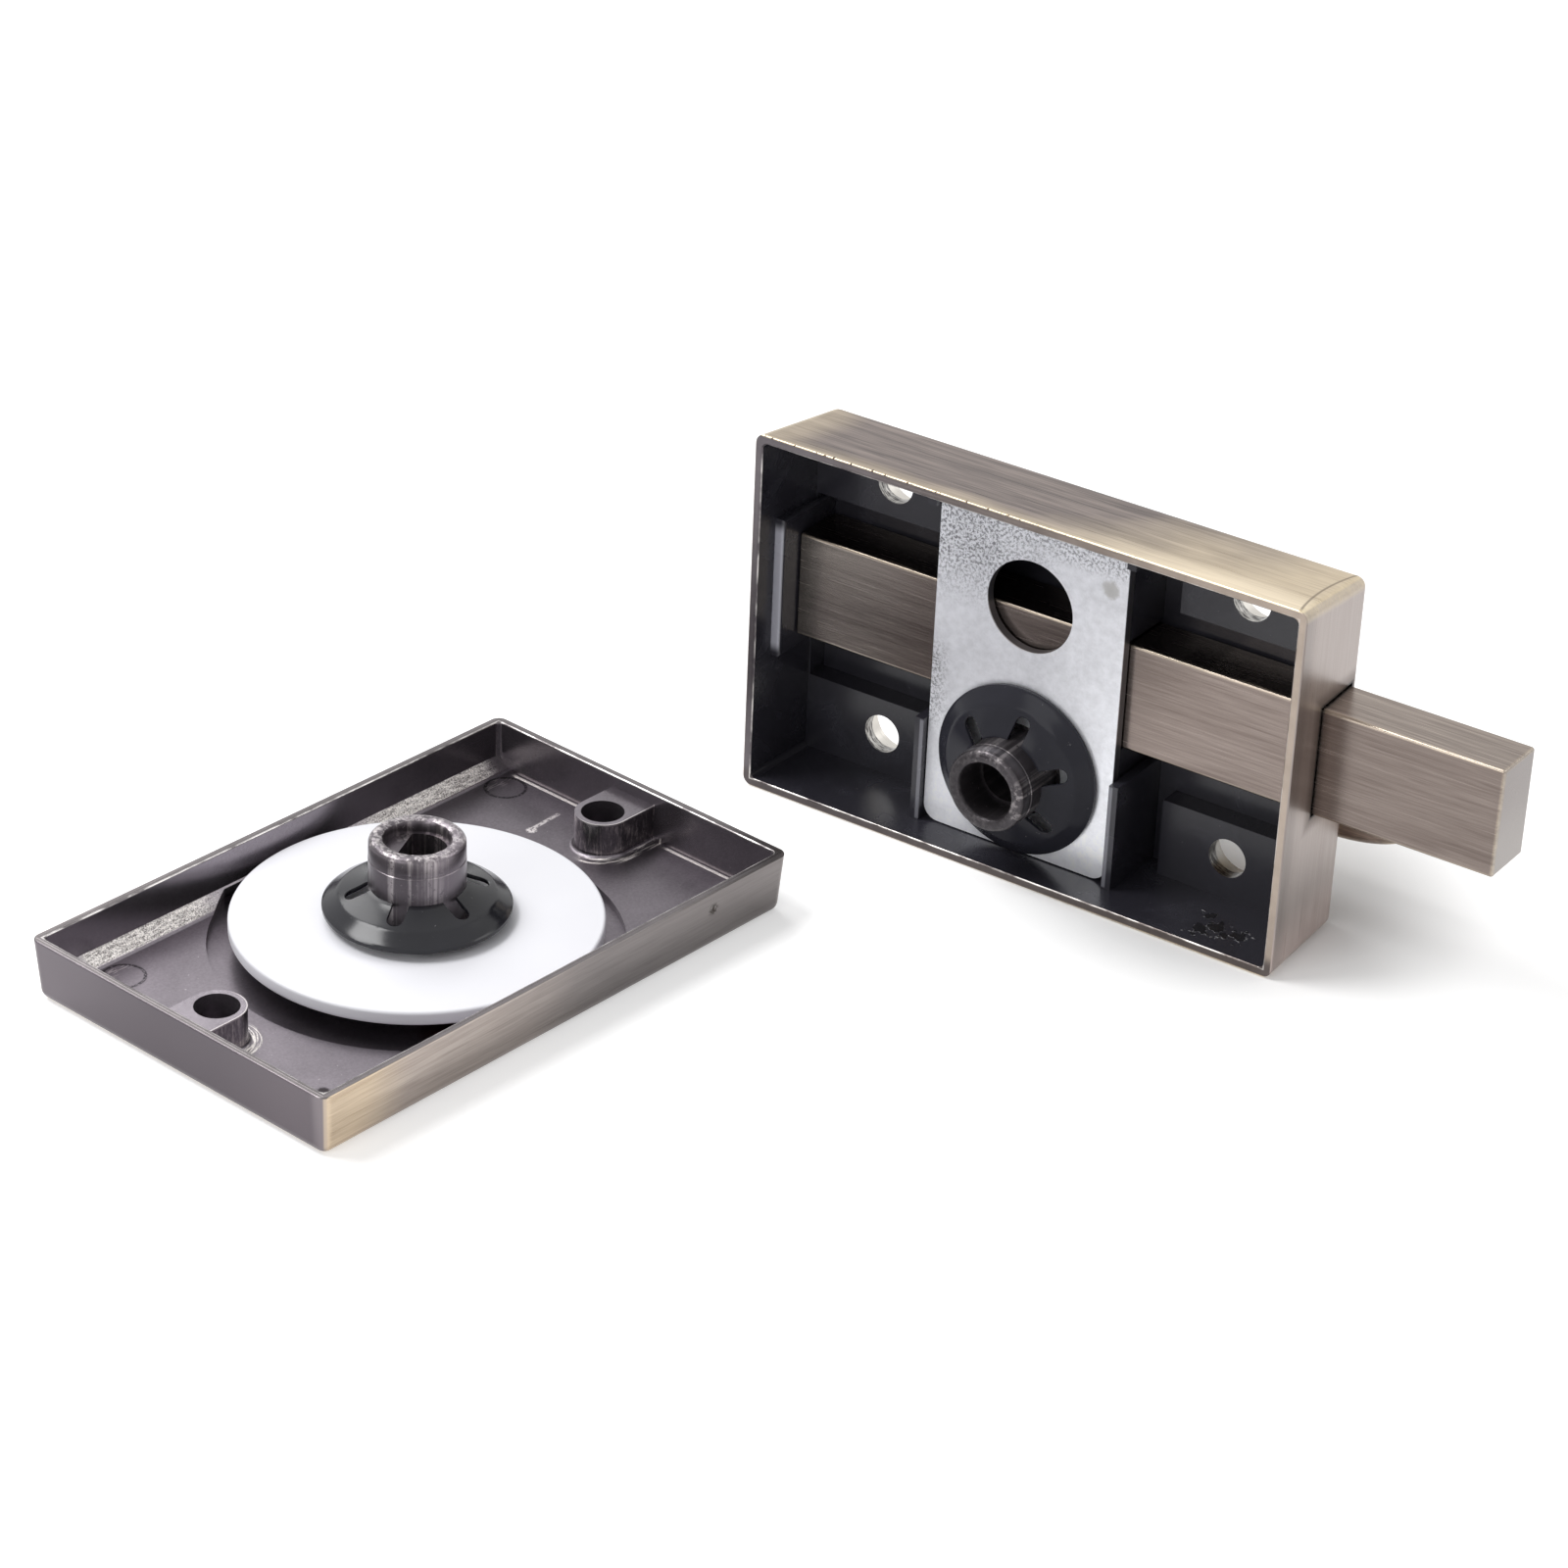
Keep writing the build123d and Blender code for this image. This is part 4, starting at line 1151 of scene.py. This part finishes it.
class BOLT_OT_drive_shaft(bpy.types.Operator):
    """Shaft of the bolt half with its open stub, a turned groove and torn bore edge"""

    bl_idname = "indicator_bolt.drive_shaft"
    bl_label = "Drive shaft"

    def execute(self, context):
        groove = sizes().groove_depth / MM
        neck, stub, bore, socket = 7.22, 6.55, 4.4, 4.0
        profile = [
            # The lever's end with its two flats, and the round neck in the bush
            (-30.0, flatted_line(6.9, 6.1)),
            (-29.7, flatted_line(neck, 6.4)),
            (-15.4, flatted_line(neck, 6.4)),
            (-15.4, round_line(neck)),
            (-6.4, round_line(neck)),
            # The stub, its groove, and its torn edge
            (-6.4, round_line(stub)),
            (0.2, round_line(stub)),
            (0.3, round_line(stub - groove)),
            (0.42, round_line(stub - groove)),
            (0.52, round_line(stub)),
            (2.4, round_line(6.53)),
            (2.6, round_line(6.44)),
            (2.82, round_line(6.25)),
            (2.95, round_line(6.05, 0.04, 1.0)),
            (3.0, round_line(5.85, 0.06, 1.0)),
            (2.99, round_line(4.95, 0.06, 4.0)),
            (2.9, round_line(4.72, 0.08, 4.0)),
            (2.6, round_line(4.5, 0.05, 4.0)),
            # Down the bore to the socket with its ledge
            (2.2, round_line(bore)),
            (-3.0, round_line(bore)),
            (-3.0, ledge_line(socket, 3.0, 0.0)),
            (-10.0, ledge_line(socket, 3.0, 0.0)),
        ]
        mesh = turned(case_axes(depth=0), profile, SHAFT_STEPS)
        finish = dark_steel_finish(
            "drive_shaft_finish", SPINDLE, "y", face=-3.0, metallic=0.6, raggedness_and_light=0.03
        )
        piece_from(mesh, "drive_shaft_turned", "lever", "drive_shaft", finish, 28)
        return {"FINISHED"}


class BOLT_OT_release_shaft(bpy.types.Operator):
    """Shaft of the indicator half: coin head, flats for the disc and open stub"""

    bl_idname = "indicator_bolt.release_shaft"
    bl_label = "Release shaft"

    def execute(self, context):
        groove = sizes().groove_depth / MM
        head, body, stub, bore, socket = 9.4, 8.12, 7.0, 4.7, 4.3
        turn = radians(115)
        profile = [
            # The coin slot in the head, and the body with its flats for the disc
            (0.7, slot_line(6.5, 0.9)),
            (0.1, slot_line(6.5, 0.9)),
            (0.1, round_line(head - 0.3)),
            (0.4, round_line(head)),
            (1.1, round_line(head)),
            (1.1, round_line(body)),
            (4.3, round_line(body)),
            (4.3, flatted_line(body, 7.1)),
            (6.5, flatted_line(body, 7.1)),
            # The stub, its groove, and its torn edge
            (6.5, round_line(stub)),
            (15.85, round_line(stub)),
            (15.95, round_line(stub - groove)),
            (16.1, round_line(stub - groove)),
            (16.2, round_line(6.98)),
            (18.3, round_line(6.94)),
            (18.52, round_line(6.86)),
            (18.76, round_line(6.66, 0.04, 2.0)),
            (18.9, round_line(6.44, 0.05, 2.0, 0.02)),
            (18.97, round_line(6.2, 0.08, 2.0, 0.04)),
            (18.95, round_line(5.25, 0.12, 3.0, 0.08)),
            (18.8, round_line(4.95, 0.16, 6.0, 0.06)),
            (18.4, round_line(4.75, 0.08, 6.0)),
            # Down the bore to the socket with its ledge
            (17.0, round_line(bore)),
            (17.0, ledge_line(socket, 2.2, turn)),
            (10.0, ledge_line(socket, 2.2, turn)),
        ]
        mesh = turned(tray_axes(height=0), profile, SHAFT_STEPS)
        finish = dark_steel_finish(
            "release_shaft_finish", TRAY, "z", face=19.0, metallic=0.9, raggedness_and_light=0.6
        )
        piece_from(mesh, "release_shaft_turned", "indicator", "release_shaft", finish, 28)
        return {"FINISHED"}


class BOLT_OT_disc(bpy.types.Operator):
    """Indicator disc with its soft edges, and the two printed fields under it"""

    bl_idname = "indicator_bolt.disc"
    bl_label = "Indicator disc"

    def execute(self, context):
        edge = sizes().disc_round / MM
        low, high = (corner.z for corner in box_of("indicator_disc"))
        radius = 26.9
        angles = [pi / 2 * step / EDGE_STEPS for step in range(EDGE_STEPS + 1)]
        profile = [(low, flatted_line(8.15, 7.13))]
        profile += [
            (low + edge * (1 - cos(angle)), round_line(radius - edge * (1 - sin(angle))))
            for angle in angles
        ]
        profile += [
            (high - edge * (1 - sin(angle)), round_line(radius - edge * (1 - cos(angle))))
            for angle in angles
        ]
        profile += [(high, flatted_line(8.35, 7.33)), (high - 0.2, flatted_line(8.15, 7.13))]
        tone = colours()
        mesh = turned(tray_axes(height=0), profile, DISC_STEPS, hollow=True)
        finish = plastic_finish("disc_finish", tone.disc_white, TRAY, rough=0.32)
        piece_from(mesh, "indicator_disc_moulded", "indicator", "indicator_disc", finish)
        wear(plastic_finish("vacant_finish", tone.vacant, TRAY), "vacant_label")
        wear(plastic_finish("engaged_finish", tone.engaged, TRAY), "engaged_label")
        return {"FINISHED"}


class BOLT_OT_castings(bpy.types.Operator):
    """Castings of the bolt half and the indicator half"""

    bl_idname = "indicator_bolt.castings"
    bl_label = "Castings"

    def execute(self, context):
        wear(case_finish(), "bolt_case")
        wear(tray_finish(), "indicator_case")
        return {"FINISHED"}


class BOLT_OT_sliding_bolt(bpy.types.Operator):
    """Brushed bolt and the plate that keeps it in its channel"""

    bl_idname = "indicator_bolt.sliding_bolt"
    bl_label = "Bolt and plate"

    def execute(self, context):
        wear(bolt_brass(), "sliding_bolt")
        wear(zinc_finish(), "retaining_plate")
        return {"FINISHED"}


class BOLT_OT_lever(bpy.types.Operator):
    """Turn lever with its grub screw, crank, bush and spring washer"""

    bl_idname = "indicator_bolt.lever"
    bl_label = "Lever and bearings"

    def execute(self, context):
        nylon = linear(226, 223, 212)
        # The lever's brass is made lighter: painted light on its shaded underside
        wear(brushed_brass("lever_finish", SPINDLE, "x", lightness=1.22), "turn_lever")
        wear(spring_black_finish("grub_screw_finish", SPINDLE, gloss=0.4), "lever_grub_screw")
        steel = dark_steel_finish(
            "crank_finish", SPINDLE, "y", face=-9.0, metallic=0.9, raggedness_and_light=0.1
        )
        wear(steel, "drive_crank")
        wear(plastic_finish("bush_finish", nylon, SPINDLE), "hub_bush")
        wear(plastic_finish("thrust_finish", nylon, TRAY), "thrust_washer")
        wear(brushed_brass("spring_washer_finish", SPINDLE, "z", lightness=1.1), "friction_washer")
        return {"FINISHED"}


class BOLT_OT_lens(bpy.types.Operator):
    """Clear lens inside the indicator's window"""

    bl_idname = "indicator_bolt.lens"
    bl_label = "Window lens"

    def execute(self, context):
        wear(lens_finish(), "window_lens")
        return {"FINISHED"}


class BOLT_OT_stage(bpy.types.Operator):
    """White floor, soft lamps, even room light and the camera"""

    bl_idname = "indicator_bolt.stage"
    bl_label = "Stage"

    def execute(self, context):
        stage = context.scene.bolt_stage
        self.floor()
        self.room(stage.sky)
        self.lamp("key_lamp", (-0.55, -0.26, 0.90), 0.5, stage.key_power)
        self.lamp("left_lamp", (-0.70, 0.30, 0.75), 0.6, stage.key_power * 0.5)
        self.lamp("side_lamp", (0.70, 0.65, 0.72), 0.6, stage.fill_power)
        self.lamp("front_lamp", (-0.15, -1.1, 0.55), 0.8, stage.front_power)

        data = bpy.data.cameras.new("product_camera")
        data.lens = stage.lens
        data.sensor_width = 36
        data.clip_start = 0.01
        data.clip_end = 20
        camera = bpy.data.objects.new("product_camera", data)
        context.scene.collection.objects.link(camera)
        look = Euler((CAMERA_TILT, 0, CAMERA_HEADING)).to_matrix()
        look = look @ Matrix.Rotation(CAMERA_ROLL, 3, "Z")
        camera.matrix_world = Matrix.Translation(CAMERA_PLACE) @ look.to_4x4()
        context.scene.camera = camera
        context.scene.view_settings.view_transform = "Standard"
        return {"FINISHED"}

    @staticmethod
    def floor():
        mesh_data = bmesh.new()
        bmesh.ops.create_grid(mesh_data, x_segments=24, y_segments=24, size=3.0)
        mesh = bpy.data.meshes.new("table")
        mesh_data.to_mesh(mesh)
        mesh_data.free()
        table = bpy.data.objects.new("table", mesh)
        table.location = (0, 0, -0.0001)
        bpy.context.scene.collection.objects.link(table)
        sheet = Finish("table_white")
        place = sheet.own_place(Vector((0, 0, 0)))
        # Painted shade: the floor's glow fades out round SHADOW_MIDDLE
        open_floor = sheet.fade(sheet.away(place, SHADOW_MIDDLE), SHADOW_NEAR, SHADOW_FAR)
        finish = sheet.surface(
            linear(236, 236, 236),
            Roughness=0.7,
            Specular_IOR_Level=0.1,
            Emission_Color=sheet.blend((0, 0, 0), (1, 1, 1), sheet.seen_directly() * open_floor),
            Emission_Strength=0.44,
        )
        table.data.materials.append(finish)

    @staticmethod
    def room(level):
        sheet = Finish("soft_room", "worlds")
        bpy.context.scene.world = sheet.owner
        strength = sheet.seen_directly() * (1 - level) + level
        sockets = {"Color": (1, 1, 1), "Strength": strength}
        shader = sheet.node("ShaderNodeBackground", None, sockets)
        sheet.node("ShaderNodeOutputWorld", None, {"Surface": shader})

    @staticmethod
    def lamp(name, place, size, power):
        data = bpy.data.lights.new(name, "AREA")
        data.shape = "DISK"
        data.size = size
        data.energy = power
        lamp = bpy.data.objects.new(name, data)
        lamp.location = place
        lamp.rotation_euler = (-Vector(place)).to_track_quat("-Z", "Y").to_euler()
        bpy.context.scene.collection.objects.link(lamp)


class BOLT_PT_panel(bpy.types.Panel):
    """Sizes, colours and steps of the indicator bolt"""

    bl_idname = "BOLT_PT_panel"
    bl_label = "Indicator bolt"
    bl_space_type = "VIEW_3D"
    bl_region_type = "UI"
    bl_category = "Indicator bolt"

    def draw(self, context):
        scene = context.scene
        for group in (scene.bolt_finishes, scene.bolt_sizes, scene.bolt_stage):
            box = self.layout.box()
            for name in group.bl_rna.properties.keys():
                if name not in ("rna_type", "name"):
                    box.prop(group, name)
        for step in STEPS:
            self.layout.operator(step.bl_idname)


STEPS = (
    BOLT_OT_castings,
    BOLT_OT_sliding_bolt,
    BOLT_OT_push_washers,
    BOLT_OT_drive_shaft,
    BOLT_OT_release_shaft,
    BOLT_OT_disc,
    BOLT_OT_lever,
    BOLT_OT_lens,
    BOLT_OT_stage,
)
GROUPS = (BoltFinishes, BoltSizes, StageSettings)


def register():
    for kind in (*GROUPS, *STEPS, BOLT_PT_panel):
        bpy.utils.register_class(kind)
    bpy.types.Scene.bolt_finishes = bpy.props.PointerProperty(type=BoltFinishes)
    bpy.types.Scene.bolt_sizes = bpy.props.PointerProperty(type=BoltSizes)
    bpy.types.Scene.bolt_stage = bpy.props.PointerProperty(type=StageSettings)


def unregister():
    del bpy.types.Scene.bolt_stage
    del bpy.types.Scene.bolt_sizes
    del bpy.types.Scene.bolt_finishes
    for kind in reversed((*GROUPS, *STEPS, BOLT_PT_panel)):
        bpy.utils.unregister_class(kind)


def main():
    register()
    for step in STEPS:
        family, action = step.bl_idname.split(".")
        getattr(getattr(bpy.ops, family), action)()


if __name__ == "__main__":
    main()
